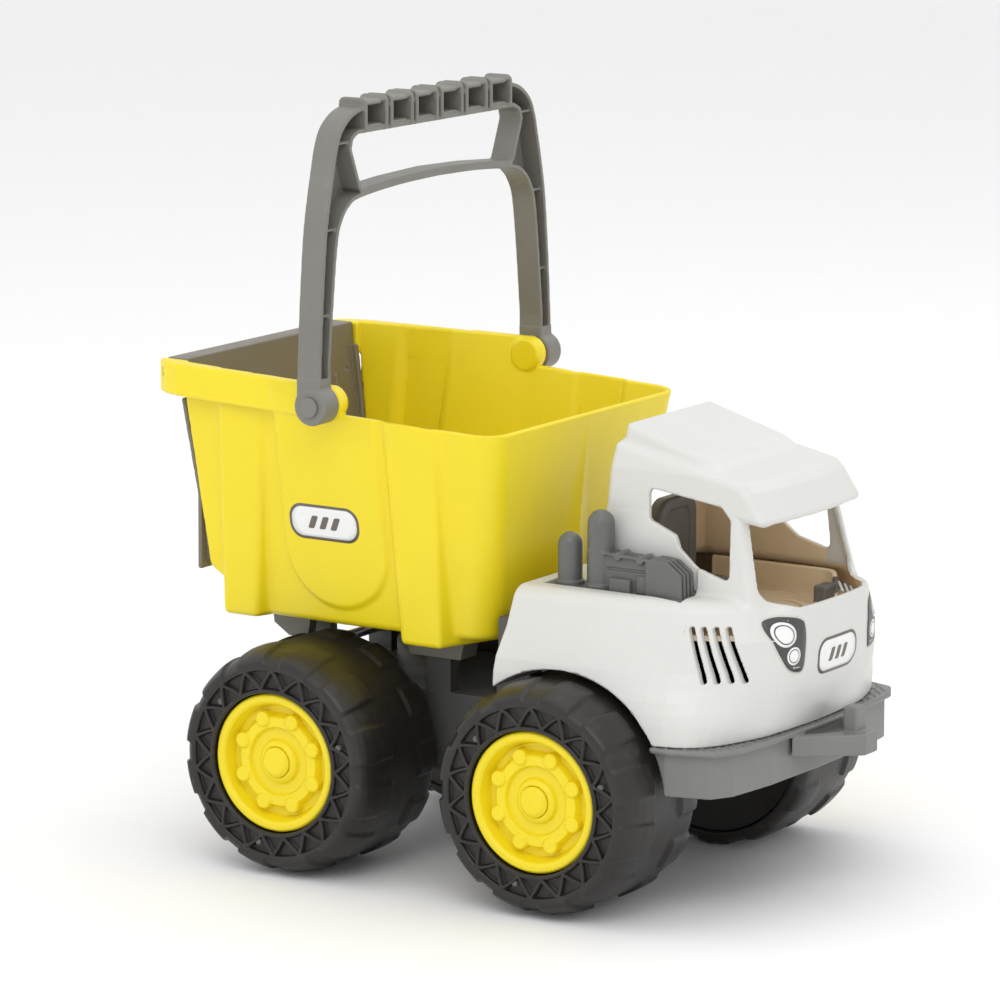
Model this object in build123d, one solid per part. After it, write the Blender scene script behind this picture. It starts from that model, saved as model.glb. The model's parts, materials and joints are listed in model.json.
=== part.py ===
"""Ride-along toy dump truck: chassis, cab, tipping cradle, lift-off bucket with tailgate and carry handle.

Millimetres.  +X is the front of the truck, +Z is up, and the truck stands on z = 0.
Stations along X are measured from the middle of the wheelbase; write() shifts every piece
so that the origin is under the middle of the whole truck.
"""
from build123d import *
from math import cos, pi, sin
import os

# ---------------------------------------------------------------- driving dimensions
AXLE_SPACING = 167.0          # front axle to rear axle
WHEEL_RADIUS = 64.0           # over the tread lugs, and the height of both axles
WHEEL_OUTER_Y = 131.0         # outer sidewall of the tyres
WHEEL_INNER_Y = 58.0          # inner face of the tyres
HUB_RADIUS = 38.5             # yellow wheel hub
AXLE_RADIUS = 3.0             # steel axle rod
REAR_END_X = -190.0           # back of the bucket rim
FRONT_END_X = 218.0           # tip of the tow tongue
BUCKET_FLOOR_Z = 134.0        # underside of the bucket, top of the cradle
RIM_REAR_Z = 274.0            # top of the thick rim band at the back corners
RIM_PIVOT_Z = 271.5           # top of the thick rim band at the handle pivot
RIM_FRONT_Z = 252.0           # top of the thin rim at the front corners
BAND_HEIGHT = 18.5            # thick rim band
HANDLE_X = -64.0              # handle pivot axis
HANDLE_Z = 262.0
HANDLE_TOP_Z = 421.5          # top of the handle arms, under the finger grips
KNUCKLE_Y = 120.0             # outer face of the handle knuckles
CAB_HALF_WIDTH = 53.0         # cab at window height
FENDER_HALF_WIDTH = 104.0     # cab shell over the wheel arches
BUMPER_TOP_Z = 97.0
WALL = 2.6                    # moulded plastic wall thickness
GAP = 0.5                     # clearance between pieces that move on each other
RUNNING_GAP = 0.08            # radial clearance of a shaft in its bore

# ---------------------------------------------------------------- derived places
CENTRE_X = (REAR_END_X + FRONT_END_X) / 2
FRONT_AXLE_X = AXLE_SPACING / 2
REAR_AXLE_X = -AXLE_SPACING / 2
AXLE_Z = WHEEL_RADIUS
SIDES = {"right": -1, "left": 1}          # the driver's right is -Y


def write(node, shape):
    """Write one node, moved so that the origin is under the middle of the truck."""
    export_step(Pos(-CENTRE_X, 0, 0) * shape, f"parts/{node}.step")


def write_group(node, pieces):
    """Write several identical pieces as one node of separate solids."""
    export_step(Compound([Pos(-CENTRE_X, 0, 0) * piece for piece in pieces]), f"parts/{node}.step")


def block(x0, x1, y0, y1, z0, z1):
    """Box between two corners."""
    return Pos((x0 + x1) / 2, (y0 + y1) / 2, (z0 + z1) / 2) * Box(x1 - x0, y1 - y0, z1 - z0)


def rod(x, z, y0, y1, radius):
    """Cylinder along Y between two stations."""
    return Pos(x, (y0 + y1) / 2, z) * Rot(90, 0, 0) * Cylinder(radius, abs(y1 - y0))


def side_profile(points, y0, y1):
    """Closed outline in (x, z), extruded along Y."""
    face = make_face(Polyline(*[(x, y0, z) for x, z in points], close=True))
    return extrude(face, amount=y1 - y0, dir=(0, 1, 0))


def front_profile(points, x0, x1):
    """Closed outline in (y, z), extruded along X."""
    face = make_face(Polyline(*[(x0, y, z) for y, z in points], close=True))
    return extrude(face, amount=x1 - x0, dir=(1, 0, 0))


def mirrored(points):
    """Half outline from the positive side, closed with its mirror image in the first coordinate."""
    return points + [(-a, b) for a, b in reversed(points)]


# ---------------------------------------------------------------- wheels
SIDEWALL_RADIUS = 53.0
TYRE_WALL = 3.0
HUB_FACE_Y = WHEEL_OUTER_Y - 2.0
HUB_DISH_DEPTH = 9.0
HUB_TUBE_RADIUS = 9.0
NUT_POCKET_RADIUS = 8.5
AXLE_END_Y = HUB_FACE_Y - 6.5
HUB_BOLTS = 8
HUB_BOLT_CIRCLE = 25.0
TYRE_SCREWS = 3
TYRE_SCREW_CIRCLE = 46.0


def revolved(points):
    """Closed outline in (radius, y), turned about the Y axis."""
    face = make_face(Polyline(*[(r, y, 0) for r, y in points], close=True))
    return revolve(face, axis=Axis.Y)


def tyre():
    """Hollow tyre with the outer sidewall and tread, open at the back."""
    out, back = WHEEL_OUTER_Y, WHEEL_INNER_Y
    outer = [
        (HUB_RADIUS + GAP, out - 10), (HUB_RADIUS + GAP, out - 0.5), (SIDEWALL_RADIUS, out),
        (SIDEWALL_RADIUS + 5, out - 5), (WHEEL_RADIUS - 1, out - 14), (WHEEL_RADIUS, out - 24),
        (WHEEL_RADIUS, back + 8), (WHEEL_RADIUS - 5, back + 1.5), (WHEEL_RADIUS - 9, back),
    ]
    inner = [
        (WHEEL_RADIUS - 9, back + 2), (WHEEL_RADIUS - TYRE_WALL, back + 9),
        (WHEEL_RADIUS - TYRE_WALL, out - 24), (SIDEWALL_RADIUS + 2, out - 8),
        (SIDEWALL_RADIUS - 2, out - TYRE_WALL), (HUB_RADIUS + 4, out - TYRE_WALL),
        (HUB_RADIUS + 4, out - 10),
    ]
    return revolved(outer + inner)


def tyre_back():
    """Inner disc that closes the tyre, with a bush round the axle."""
    back = WHEEL_INNER_Y
    disc_radius = WHEEL_RADIUS - 9 - GAP
    bore = AXLE_RADIUS + RUNNING_GAP
    disc = revolved([
        (bore, back + 1), (bore, back + 22), (HUB_TUBE_RADIUS, back + 22), (HUB_TUBE_RADIUS, back + 4),
        (disc_radius, back + 4), (disc_radius, back + 1),
    ])
    return disc


def hub():
    """Yellow dished hub with eight bolt heads and the tube that runs on the axle."""
    face, floor = HUB_FACE_Y, HUB_FACE_Y - HUB_DISH_DEPTH
    bore = AXLE_RADIUS + RUNNING_GAP
    pocket_floor = AXLE_END_Y - 5.0
    body = revolved([
        (bore, WHEEL_INNER_Y + 22 + GAP), (HUB_TUBE_RADIUS, WHEEL_INNER_Y + 22 + GAP),
        (HUB_TUBE_RADIUS + 2, floor - 4 - WALL), (HUB_RADIUS - 8, floor - WALL),
        (HUB_RADIUS - 1, WHEEL_OUTER_Y - 10), (HUB_RADIUS, face - 1), (HUB_RADIUS - 0.8, face),
        (HUB_RADIUS - 4.5, face), (HUB_RADIUS - 7, floor), (19.5, floor), (18, floor + 3.5),
        (12.5, floor + 3.5), (12, floor + 5), (NUT_POCKET_RADIUS + 1.5, floor + 5),
        (NUT_POCKET_RADIUS, floor + 4), (NUT_POCKET_RADIUS, pocket_floor), (bore, pocket_floor),
    ])
    for i in range(HUB_BOLTS):
        angle = 2 * pi * i / HUB_BOLTS
        x, z = HUB_BOLT_CIRCLE * cos(angle), HUB_BOLT_CIRCLE * sin(angle)
        body += rod(x, z, floor - 1, floor + 4, 4.2)
    return body


def hub_cap():
    """Round cap that hides the push nut."""
    seat = AXLE_END_Y + 1.0
    return revolved([
        (0, seat + 0.5), (NUT_POCKET_RADIUS - 0.1, seat + 0.5), (NUT_POCKET_RADIUS - 0.1, HUB_FACE_Y - 2),
        (NUT_POCKET_RADIUS - 2, HUB_FACE_Y - 0.5), (0, HUB_FACE_Y - 0.2),
    ])


def tyre_screws():
    """Three small screws in the sidewall ring."""
    screws = []
    for i in range(TYRE_SCREWS):
        angle = 2 * pi * (i + 0.35) / TYRE_SCREWS
        x, z = TYRE_SCREW_CIRCLE * cos(angle), TYRE_SCREW_CIRCLE * sin(angle)
        screws.append(rod(x, z, WHEEL_OUTER_Y - TYRE_WALL - 6, WHEEL_OUTER_Y - 0.6, 1.6))
    return screws


def tyre_with_screw_holes(body, screws):
    """Cut a snug seat for each screw."""
    for screw in screws:
        body -= screw
    return body


def write_wheels():
    """Four identical wheels; the left ones are turned about Z."""
    screws = tyre_screws()
    pieces = {
        "tyre": tyre_with_screw_holes(tyre(), screws), "tyre_back": tyre_back(),
        "hub": hub(), "hub_cap": hub_cap(),
    }
    for end, x in (("front", FRONT_AXLE_X), ("rear", REAR_AXLE_X)):
        for side, sign in SIDES.items():
            turn = Rot(0, 0, 180) if sign < 0 else Rot(0, 0, 0)
            place = Pos(x, 0, AXLE_Z) * turn
            for name, piece in pieces.items():
                write(f"{end}_{side}_{name}", place * piece)
            write_group(f"{end}_{side}_tyre_screws", [place * screw for screw in screws])


def write_axles():
    """Steel rods with a push nut on each end."""
    nuts = []
    for end, x in (("front", FRONT_AXLE_X), ("rear", REAR_AXLE_X)):
        write(f"{end}_axle", rod(x, AXLE_Z, -AXLE_END_Y, AXLE_END_Y, AXLE_RADIUS))
        for sign in SIDES.values():
            near, far = AXLE_END_Y - 3.4, AXLE_END_Y - 1.4
            ring = rod(x, AXLE_Z, sign * near, sign * far, 7.0)
            nuts.append(ring - rod(x, AXLE_Z, sign * (near - 1), sign * (far + 1), AXLE_RADIUS))
    write_group("axle_push_nuts", nuts)


# ---------------------------------------------------------------- chassis
CHASSIS_HALF_WIDTH = 50.0
CHASSIS_REAR_X = -128.0
CHASSIS_FRONT_X = 158.0
CHASSIS_BOTTOM_Z = 52.0
CHASSIS_TOP_Z = 96.5
CHASSIS_NOSE_X = 128.0        # the tub is shallower from here to its front end
CHASSIS_NOSE_Z = 70.0
HINGE_X = -116.0
HINGE_Z = 110.0
HINGE_PIN_RADIUS = 3.0
TOWER_OUTER_Y = 30.0
AXLE_BOSS_RADIUS = 9.0
BULKHEAD_X0 = 27.5
BULKHEAD_X1 = 35.5
BULKHEAD_TOP_Z = 149.0
CRADLE_LUG_Z = 116.5          # underside of the cradle's rest lugs
SCREW_RADIUS = 1.6
SCREW_HEAD_RADIUS = 3.2
CAB_BOSS_X = 45.4
CAB_BOSS_Y = 40.0
BUMPER_BOSS_Y = 30.0
BUMPER_BOSS_Z = 82.0


def chassis_frame():
    """Open-bottomed tub with axle bosses, the bed hinge towers and the bulkhead behind the cab."""
    half = CHASSIS_HALF_WIDTH
    tub = block(CHASSIS_REAR_X, CHASSIS_FRONT_X, -half, half, CHASSIS_BOTTOM_Z, CHASSIS_TOP_Z)
    tub -= block(CHASSIS_REAR_X + 3, CHASSIS_FRONT_X - 3, -half + 3, half - 3, CHASSIS_BOTTOM_Z - 1,
                 CHASSIS_TOP_Z - 3)
    tub -= block(CHASSIS_NOSE_X, CHASSIS_FRONT_X + 1, -half - 1, half + 1, CHASSIS_BOTTOM_Z - 1, CHASSIS_NOSE_Z)
    for x in (REAR_AXLE_X, FRONT_AXLE_X):
        for sign in SIDES.values():
            tub += rod(x, AXLE_Z, sign * (half - 12), sign * (WHEEL_INNER_Y - GAP), AXLE_BOSS_RADIUS)
    for sign in SIDES.values():
        y0, y1 = sorted((sign * (TOWER_OUTER_Y - 6), sign * TOWER_OUTER_Y))
        tower = block(HINGE_X - 8, HINGE_X + 8, y0, y1, CHASSIS_TOP_Z - 2, HINGE_Z)
        tub += tower + rod(HINGE_X, HINGE_Z, y0, y1, 8.0)
    lower = side_profile([
        (14, CHASSIS_TOP_Z - 1), (14, 120), (BULKHEAD_X0, 131), (BULKHEAD_X1, 131),
        (BULKHEAD_X1, CHASSIS_TOP_Z - 1),
    ], -55, 55)
    lower -= side_profile([
        (17, CHASSIS_TOP_Z - 2), (17, 118), (BULKHEAD_X0, 128), (BULKHEAD_X1 + 1, 128),
        (BULKHEAD_X1 + 1, CHASSIS_TOP_Z - 2),
    ], -52, 52)
    upper = block(BULKHEAD_X0, BULKHEAD_X1, -74, 74, 114, BULKHEAD_TOP_Z)
    upper -= block(BULKHEAD_X0 + 3, BULKHEAD_X1 + 1, -71, 71, 113, BULKHEAD_TOP_Z - 3)
    tub += lower + upper
    for sign in SIDES.values():
        y0, y1 = sorted((sign * 40.0, sign * 49.0))
        tub += block(-36, -20, y0, y1, CHASSIS_TOP_Z - 1, CRADLE_LUG_Z - GAP)
    for x in (REAR_AXLE_X, FRONT_AXLE_X):
        tub -= rod(x, AXLE_Z, -WHEEL_INNER_Y, WHEEL_INNER_Y, AXLE_RADIUS)
    tub -= rod(HINGE_X, HINGE_Z, -40, 40, HINGE_PIN_RADIUS)
    for screw in cab_screws() + bumper_screws():
        tub -= screw
    return tub


def screw(place, length):
    """Screw along +Z from its head, set down at a place."""
    head = Pos(0, 0, 1.0) * Cylinder(SCREW_HEAD_RADIUS, 2.0)
    shank = Pos(0, 0, 2.0 + length / 2) * Cylinder(SCREW_RADIUS, length)
    return place * (head + shank)


def cab_screws():
    """Two screws up through the chassis top into the cab's rear bosses."""
    z = CHASSIS_TOP_Z - 5.0
    return [screw(Pos(CAB_BOSS_X, sign * CAB_BOSS_Y, z), 18) for sign in SIDES.values()]


def bumper_screws():
    """Two screws forward through the chassis nose into the bumper's bosses."""
    x = CHASSIS_FRONT_X - 5.0
    return [screw(Pos(x, sign * BUMPER_BOSS_Y, BUMPER_BOSS_Z) * Rot(0, 90, 0), 12)
            for sign in SIDES.values()]


# ---------------------------------------------------------------- bumper and tow hook
FLANGE_THICKNESS = 3.0
BUMPER_BOTTOM_Z = 70.5
HOOK_TOP_Z = 94.0
HOOK_BOTTOM_Z = 82.5
HOOK_POST_TOP_Z = 108.0
HOOK_POST_REAR_X = FRONT_END_X - 15.0
HOOK_POST_FRONT_X = FRONT_END_X - 6.0


def bumper_outline(inset):
    """Plan outline of the bumper, pulled in by inset on its outer edges."""
    front = 187.0 - inset
    corner_y, side_y = 84.0 - inset * 0.6, 105.0 - inset
    half = [
        (front + 2, 0), (front + 1, corner_y * 0.6), (front - 2, corner_y), (176 - inset, 98 - inset),
        (150, side_y), (136, side_y),
    ]
    return half


def bumper_plate(inset, z0, z1):
    """Solid between two levels with the bumper's outline, ending at the wheel arches."""
    half = bumper_outline(inset)
    points = half + [(136, 62), (CHASSIS_FRONT_X, 62), (CHASSIS_FRONT_X, 0)]
    points = points + [(x, -y) for x, y in reversed(points) if y > 0]
    face = make_face(Polyline(*[(x, y, z0) for x, y in points], close=True))
    return extrude(face, amount=z1 - z0, dir=(0, 0, 1))


def front_bumper():
    """Flanged bumper with the tow tongue and its upright post."""
    flange = bumper_plate(0, BUMPER_TOP_Z - FLANGE_THICKNESS, BUMPER_TOP_Z)
    skirt = bumper_plate(3.5, BUMPER_BOTTOM_Z, BUMPER_TOP_Z - 1)
    hollow_half = [(x - WALL, y * 0.97) for x, y in bumper_outline(3.5)]
    hollow = hollow_half[:-2] + [(147, 98.5), (139, 98.5), (139, 65), (161, 65), (161, 0)]
    hollow = hollow + [(x, -y) for x, y in reversed(hollow) if y > 0]
    face = make_face(Polyline(*[(x, y, BUMPER_BOTTOM_Z - 1) for x, y in hollow], close=True))
    skirt -= extrude(face, amount=BUMPER_TOP_Z - FLANGE_THICKNESS - BUMPER_BOTTOM_Z + 1, dir=(0, 0, 1))
    tongue_plan = [(182, 33), (FRONT_END_X - 1, 8), (FRONT_END_X, 6.5), (FRONT_END_X, -6.5),
                   (FRONT_END_X - 1, -8), (182, -33)]
    face = make_face(Polyline(*[(x, y, HOOK_BOTTOM_Z) for x, y in tongue_plan], close=True))
    tongue = extrude(face, amount=HOOK_TOP_Z - HOOK_BOTTOM_Z, dir=(0, 0, 1))
    post = block(HOOK_POST_REAR_X, HOOK_POST_FRONT_X, -5.5, 5.5, HOOK_BOTTOM_Z, HOOK_POST_TOP_Z)
    post = fillet(post.edges().filter_by(Axis.Z), 2.5)
    bumper = flange + skirt + tongue + post
    pocket_end = HOOK_POST_REAR_X - 2
    pocket_plan = [(CHASSIS_FRONT_X + 20, 24), (190, 24), (pocket_end, 8), (pocket_end, -8),
                   (190, -24), (CHASSIS_FRONT_X + 20, -24)]
    face = make_face(Polyline(*[(x, y, HOOK_BOTTOM_Z + WALL) for x, y in pocket_plan], close=True))
    bumper -= extrude(face, amount=BUMPER_TOP_Z - FLANGE_THICKNESS - HOOK_BOTTOM_Z - WALL, dir=(0, 0, 1))
    for sign in SIDES.values():
        y0, y1 = sorted((sign * (BUMPER_BOSS_Y - 5), sign * (BUMPER_BOSS_Y + 5)))
        bumper += block(CHASSIS_FRONT_X, 174, y0, y1, BUMPER_BOSS_Z - 5, BUMPER_TOP_Z - 1)
        wheel_side = sorted((sign * (WHEEL_INNER_Y - 2), sign * 112))
        bumper -= rod(FRONT_AXLE_X, AXLE_Z, *wheel_side, WHEEL_RADIUS + 2)
    for screw_piece in bumper_screws():
        bumper -= screw_piece
    return bumper


# ---------------------------------------------------------------- cab shell
CAB_BASE_Z = BUMPER_TOP_Z
POD_TOP_Z = 171.0
POD_REAR_X = 38.0
ARCH_RADIUS = 67.0
VENTS = 4
ENGINE_REAR_X = 56.0
ENGINE_FRONT_X = 141.0
ENGINE_OUTER_Y = 72.0
ENGINE_INNER_Y = CAB_HALF_WIDTH + 2.5
MOTOR_REAR_X = 96.0
MOTOR_TOP_Z = 187.5
ENGINE_RIBS = 4
ENGINE_RIB_PITCH = 3.9
RIB_PROUD = 1.4


def body_section(z, width, nose_x, mid_width, inset):
    """One level of the fenders and nose: straight across the back, curved sides and front."""
    rear = POD_REAR_X + inset
    w = width - inset
    points = [
        (rear, -w), (90, -w), (140, -(mid_width - inset)), (nose_x - 12 - inset, -46 + inset),
        (nose_x - inset, 0),
    ]
    whole = points + [(x, -y) for x, y in reversed(points[:-1])]
    curve = Spline(*[(x, y, z) for x, y in whole])
    back = Line((rear, w, z), (rear, -w, z))
    return make_face(Wire([curve, back]))


def lower_body(inset):
    """Fenders and nose as one smooth form, narrowing upwards."""
    bottom = CAB_BASE_Z - (1.0 if inset > 0 else 0.0)
    top = POD_TOP_Z - inset
    sections = [
        body_section(bottom, FENDER_HALF_WIDTH, 184, 102, inset),
        body_section(125, FENDER_HALF_WIDTH - 1, 194, 96, inset),
        body_section(150, FENDER_HALF_WIDTH - 8, 197, 84, inset),
        body_section(top, FENDER_HALF_WIDTH - 20, 196, 68, inset),
    ]
    return loft(sections)


def greenhouse(inset):
    """Upper cab: pillars, sloped roof with its raised box, and the sun visor over the windscreen."""
    t = inset
    side = [
        (75 + t, 150), (86 + t, 246 - t), (91 + t, 256 - t), (138, 243 - t), (147, 237.5 - t),
        (171 - t, 230 - t), (177 - t, 226 - t), (187 - t, 211.5), (180 - t, 209), (173 - t, 212),
        (178 - t, 168), (180 - t, 150),
    ]
    half = CAB_HALF_WIDTH - t
    front = mirrored([(half + 2, 150), (half, 236), (half - 3, 245 - t), (half - 9, 262 - t)])
    return side_profile(side, -half - 3, half + 3) & front_profile(front, 60, 200)


def cab_solid(inset):
    """Outer form of the cab, or the hollow inside it when inset is the wall thickness."""
    return lower_body(inset) + greenhouse(inset)


def side_window():
    """Side windows, cut right across the cab; the lower rear corner is cut off by the engine bay."""
    return side_profile([
        (110, 225), (154, 219), (160, 212), (161.5, 179), (141, 185), (130, 194), (127, 201), (110, 208),
    ], -80, 80)


def windscreen():
    """Opening between the pillars, from the sill up to the visor."""
    return block(165, 215, -46, 46, 168, 211)


def rear_window():
    """Opening in the wall behind the seat."""
    return block(70, 95, -36, 36, 200, 232)


def engine_bay():
    """Opening in the top of the right-hand fender for the engine."""
    return block(ENGINE_REAR_X - 1, ENGINE_FRONT_X + 1, -ENGINE_OUTER_Y - 1, -ENGINE_INNER_Y + 0.5, 164, 180)


def vent_slots(sign):
    """Four slanting louvres behind the headlamp."""
    slots = None
    for i in range(VENTS):
        x = 150.0 + 7.6 * i
        slot = side_profile([(x, 158), (x + 3, 158.5), (x + 10, 131), (x + 7, 130)],
                            *sorted((sign * 55.0, sign * 112.0)))
        slots = slot if slots is None else slots + slot
    return slots


def cab_shell():
    """White moulded shell with its windows, wheel arches and louvres."""
    shell = cab_solid(0) - cab_solid(WALL)
    for cutter in (side_window(), windscreen(), rear_window(), engine_bay()):
        shell -= cutter
    for sign in SIDES.values():
        shell -= rod(FRONT_AXLE_X, AXLE_Z, sign * 54, sign * 112, ARCH_RADIUS)
        shell -= vent_slots(sign)
        boss = Pos(CAB_BOSS_X, sign * CAB_BOSS_Y, CAB_BASE_Z + 14) * Cylinder(5.0, 28.0)
        shell += boss
    for screw_piece in cab_screws():
        shell -= screw_piece
    return shell


# ---------------------------------------------------------------- engine, seat and labels
LABEL_THICKNESS = 0.4
EMBLEM_HEIGHT = 20.0
EMBLEM_CORNER = 6.0
FRONT_LABEL_Z = 136.0
BUCKET_LABEL_X = -73.7
BUCKET_LABEL_Z = 193.0
NOSE_LABEL_X0 = 150.0         # the nose labels lie between these stations
NOSE_LABEL_X1 = 215.0


def engine():
    """Engine block with four ribs over its front end, and two exhaust stacks, on one base plate."""
    y_out, y_in = -ENGINE_OUTER_Y, -ENGINE_INNER_Y
    y_mid = (y_out + y_in) / 2
    base_top = POD_TOP_Z - 2.0
    piece = block(ENGINE_REAR_X, ENGINE_FRONT_X, y_out, y_in, base_top - 3, base_top)
    rib_end = ENGINE_FRONT_X - 1.0
    motor = block(MOTOR_REAR_X, rib_end - RIB_PROUD, y_out + 1.2, y_in - 1.2, base_top - 1, MOTOR_TOP_Z)
    piece += fillet(motor.edges().filter_by(Axis.Y).group_by(Axis.Z)[-1], 5)
    for i in range(ENGINE_RIBS):
        y = y_mid + ENGINE_RIB_PITCH * (i - (ENGINE_RIBS - 1) / 2)
        rib = block(MOTOR_REAR_X, rib_end, y - 0.9, y + 0.9, base_top - 1, MOTOR_TOP_Z + RIB_PROUD)
        piece += fillet(rib.edges().filter_by(Axis.Y).group_by(Axis.Z)[-1], 6)
    for x, top, radius in ((67.0, 198.5, 6.7), (86.5, 212.5, 7.5)):
        stack = Pos(x, y_mid, (base_top + top) / 2) * Cylinder(radius, top - base_top)
        piece += fillet(stack.edges().group_by(Axis.Z)[-1], radius - 1)
    return piece


def seat():
    """Seat back and cushion against the rear wall, on a floor that reaches the windscreen corners."""
    floor = side_profile([(90, 150), (90, 153), (172, 153), (172, 150)], -44, 44)
    cushion = block(89, 118, -20, 20, 153, 166)
    back = block(89, 97, -20, 20, 153, 211)
    back = fillet(back.edges().filter_by(Axis.X).group_by(Axis.Z)[-1], 12)
    piece = floor + cushion + back
    for sign in SIDES.values():
        y0, y1 = sorted((sign * 30.0, sign * 43.0))
        piece += block(164, 172, y0, y1, 152, 171)
    return piece


def label_on_cab(outline_prism):
    """Thin label that follows the cab's surface inside a prism."""
    return (cab_solid(-LABEL_THICKNESS) - cab_solid(0)) & outline_prism


def headlamp_labels():
    """Printed headlamp label on each front corner."""
    labels = []
    for sign in SIDES.values():
        outline = [(33, 162), (47, 163), (56, 160), (57, 152), (48, 138), (38, 131), (31, 133), (30, 146)]
        points = [(sign * y, z) for y, z in outline]
        labels.append(label_on_cab(front_profile(points, NOSE_LABEL_X0, NOSE_LABEL_X1)))
    return labels


def front_label():
    """Printed emblem in the middle of the nose."""
    outline = Plane.YZ * Pos(0, FRONT_LABEL_Z) * RectangleRounded(42.0, EMBLEM_HEIGHT, EMBLEM_CORNER)
    prism = Pos(NOSE_LABEL_X0, 0, 0) * extrude(outline, amount=NOSE_LABEL_X1 - NOSE_LABEL_X0)
    return label_on_cab(prism)


# ---------------------------------------------------------------- bucket
def rim_z(x):
    """Height of the thin rim line at a station."""
    slope = (RIM_REAR_Z - RIM_PIVOT_Z) / (HANDLE_X - REAR_END_X)
    return RIM_PIVOT_Z - slope * (x - HANDLE_X)


BUCKET_LEVELS = (BUCKET_FLOOR_Z, 256.0, 280.0)
# half widths at the rear edge, the handle and the front corner, and the two end stations, per level
BUCKET_REAR_X = (-157.0, -170.5, -173.2)
BUCKET_FRONT_X = (23.0, 40.5, 44.0)
BUCKET_REAR_Y = (78.5, 88.0, 90.0)
BUCKET_MIDDLE_Y = (82.0, 101.0, 104.7)
BUCKET_FRONT_Y = (77.0, 99.5, 104.0)
RAMP_START_X = -122.0
RAMP_END_Z = 155.0
FRONT_CORNER_RADIUS = 9.0


def bucket_form(inset):
    """Tapered tub; inset pulls every wall in and opens the rear and the top."""
    sections = []
    for i, z in enumerate(BUCKET_LEVELS):
        rear = BUCKET_REAR_X[i] - (12 if inset else 0)
        front = BUCKET_FRONT_X[i] - inset
        r, m, f = (BUCKET_REAR_Y[i] - inset, BUCKET_MIDDLE_Y[i] - inset, BUCKET_FRONT_Y[i] - inset)
        outline = [(rear, -r), (HANDLE_X, -m), (front, -f), (front, f), (HANDLE_X, m), (rear, r)]
        level = z + inset if i == 0 else z
        sections.append(make_face(Polyline(*[(x, y, level) for x, y in outline], close=True)))
    form = loft(sections, ruled=True)
    corners = [e for e in form.edges() if e.center().X > 20 and abs(e.center().Y) > 60
               and abs((e @ 0).Z - (e @ 1).Z) > 5]
    form = fillet(corners, FRONT_CORNER_RADIUS - inset)
    ramp = side_profile([
        (RAMP_START_X, BUCKET_FLOOR_Z + inset), (-200, ramp_z(-200) + inset),
        (-200, BUCKET_FLOOR_Z - 5), (RAMP_START_X, BUCKET_FLOOR_Z - 5),
    ], -120, 120)
    return form - ramp


def ramp_z(x):
    """Underside of the sloping rear part of the floor."""
    rear = BUCKET_REAR_X[0]
    return BUCKET_FLOOR_Z + (RAMP_END_Z - BUCKET_FLOOR_Z) * (RAMP_START_X - x) / (RAMP_START_X - rear)


def pillar(x0, x1, bottom_y, top_y, bottom_z, inset):
    """Pair of ribs on the side walls: flush under the rim and proud at the foot."""
    ribs = []
    for sign in SIDES.values():
        foot = [(x0[0] + inset, 60), (x1[0] - inset, 60), (x1[0] - inset - 2, bottom_y - inset),
                (x0[0] + inset + 2, bottom_y - inset)]
        head = [(x0[1] + inset, 60), (x1[1] - inset, 60), (x1[1] - inset - 2, top_y - inset),
                (x0[1] + inset + 2, top_y - inset)]
        sections = []
        for outline, z in ((foot, bottom_z + inset), (head, 252.0)):
            sections.append(make_face(Polyline(*[(x, sign * y, z) for x, y in outline], close=True)))
        ribs.append(loft(sections, ruled=True))
    return ribs


def shield(inset):
    """Pair of broad raised panels that carry the emblems."""
    return pillar((-101.0, -101.0), (-37.0, -35.0), 84.5, 101.5, 146.0, inset)


def bucket_solid(inset):
    """Tub with its front and rear ribs."""
    form = bucket_form(inset)
    ribs = pillar((-147.0, -145.0), (-122.0, -112.0), 87.0, 94.5, 133.5, inset)
    ribs += pillar((-28.0, -31.0), (0.0, 4.0), 88.0, 101.0, 129.5, inset)
    ribs += shield(inset)
    for rib in ribs:
        form += rib
    return form


def rim_band():
    """Thick rolled rim from the rear corners to round ends at the handle pivots."""
    halves = []
    for sign in SIDES.values():
        outline = [(HANDLE_X, 105.3), (-105, 102.3), (-152, 98.2), (-170, 96.5), (-180, 93.5),
                   (-187, 88.5), (REAR_END_X, 82.5), (-173.5, 82.5), (-173.5, 88), (HANDLE_X, 100.5)]
        face = make_face(Polyline(*[(x, sign * y, 240) for x, y in outline], close=True))
        band = extrude(face, amount=40, dir=(0, 0, 1))
        top_rear = rim_z(REAR_END_X - 1)
        keep = side_profile([
            (REAR_END_X - 1, top_rear - BAND_HEIGHT), (REAR_END_X - 1, top_rear),
            (HANDLE_X, RIM_PIVOT_Z), (HANDLE_X, RIM_PIVOT_Z - BAND_HEIGHT),
        ], -120, 120)
        y0, y1 = sorted((sign * 99.5, sign * 105.3))
        halves.append((band & keep) + rod(HANDLE_X, HANDLE_Z, y0, y1, BAND_HEIGHT / 2 + 0.25))
    return halves


def thin_rim():
    """Small lip round the front part of the bucket."""
    top = bucket_form(-2.2) - bucket_form(0.5)
    keep = side_profile([(-56, 252.8), (-56, 255.8), (60, RIM_FRONT_Z - 0.8), (60, RIM_FRONT_Z - 3.8)], -130, 130)
    return top & keep


def above_rim():
    """Everything above the rim line, cut off the walls."""
    end_x = HANDLE_X + BAND_HEIGHT / 2
    return side_profile([
        (REAR_END_X - 20, rim_z(REAR_END_X - 20)), (HANDLE_X, RIM_PIVOT_Z), (HANDLE_X + 5, 270.2),
        (end_x - 1.2, 266.0), (end_x, HANDLE_Z), (end_x + 1, 255.6), (60, RIM_FRONT_Z - 1.0),
        (60, 300), (REAR_END_X - 20, 300),
    ], -140, 140)


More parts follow.
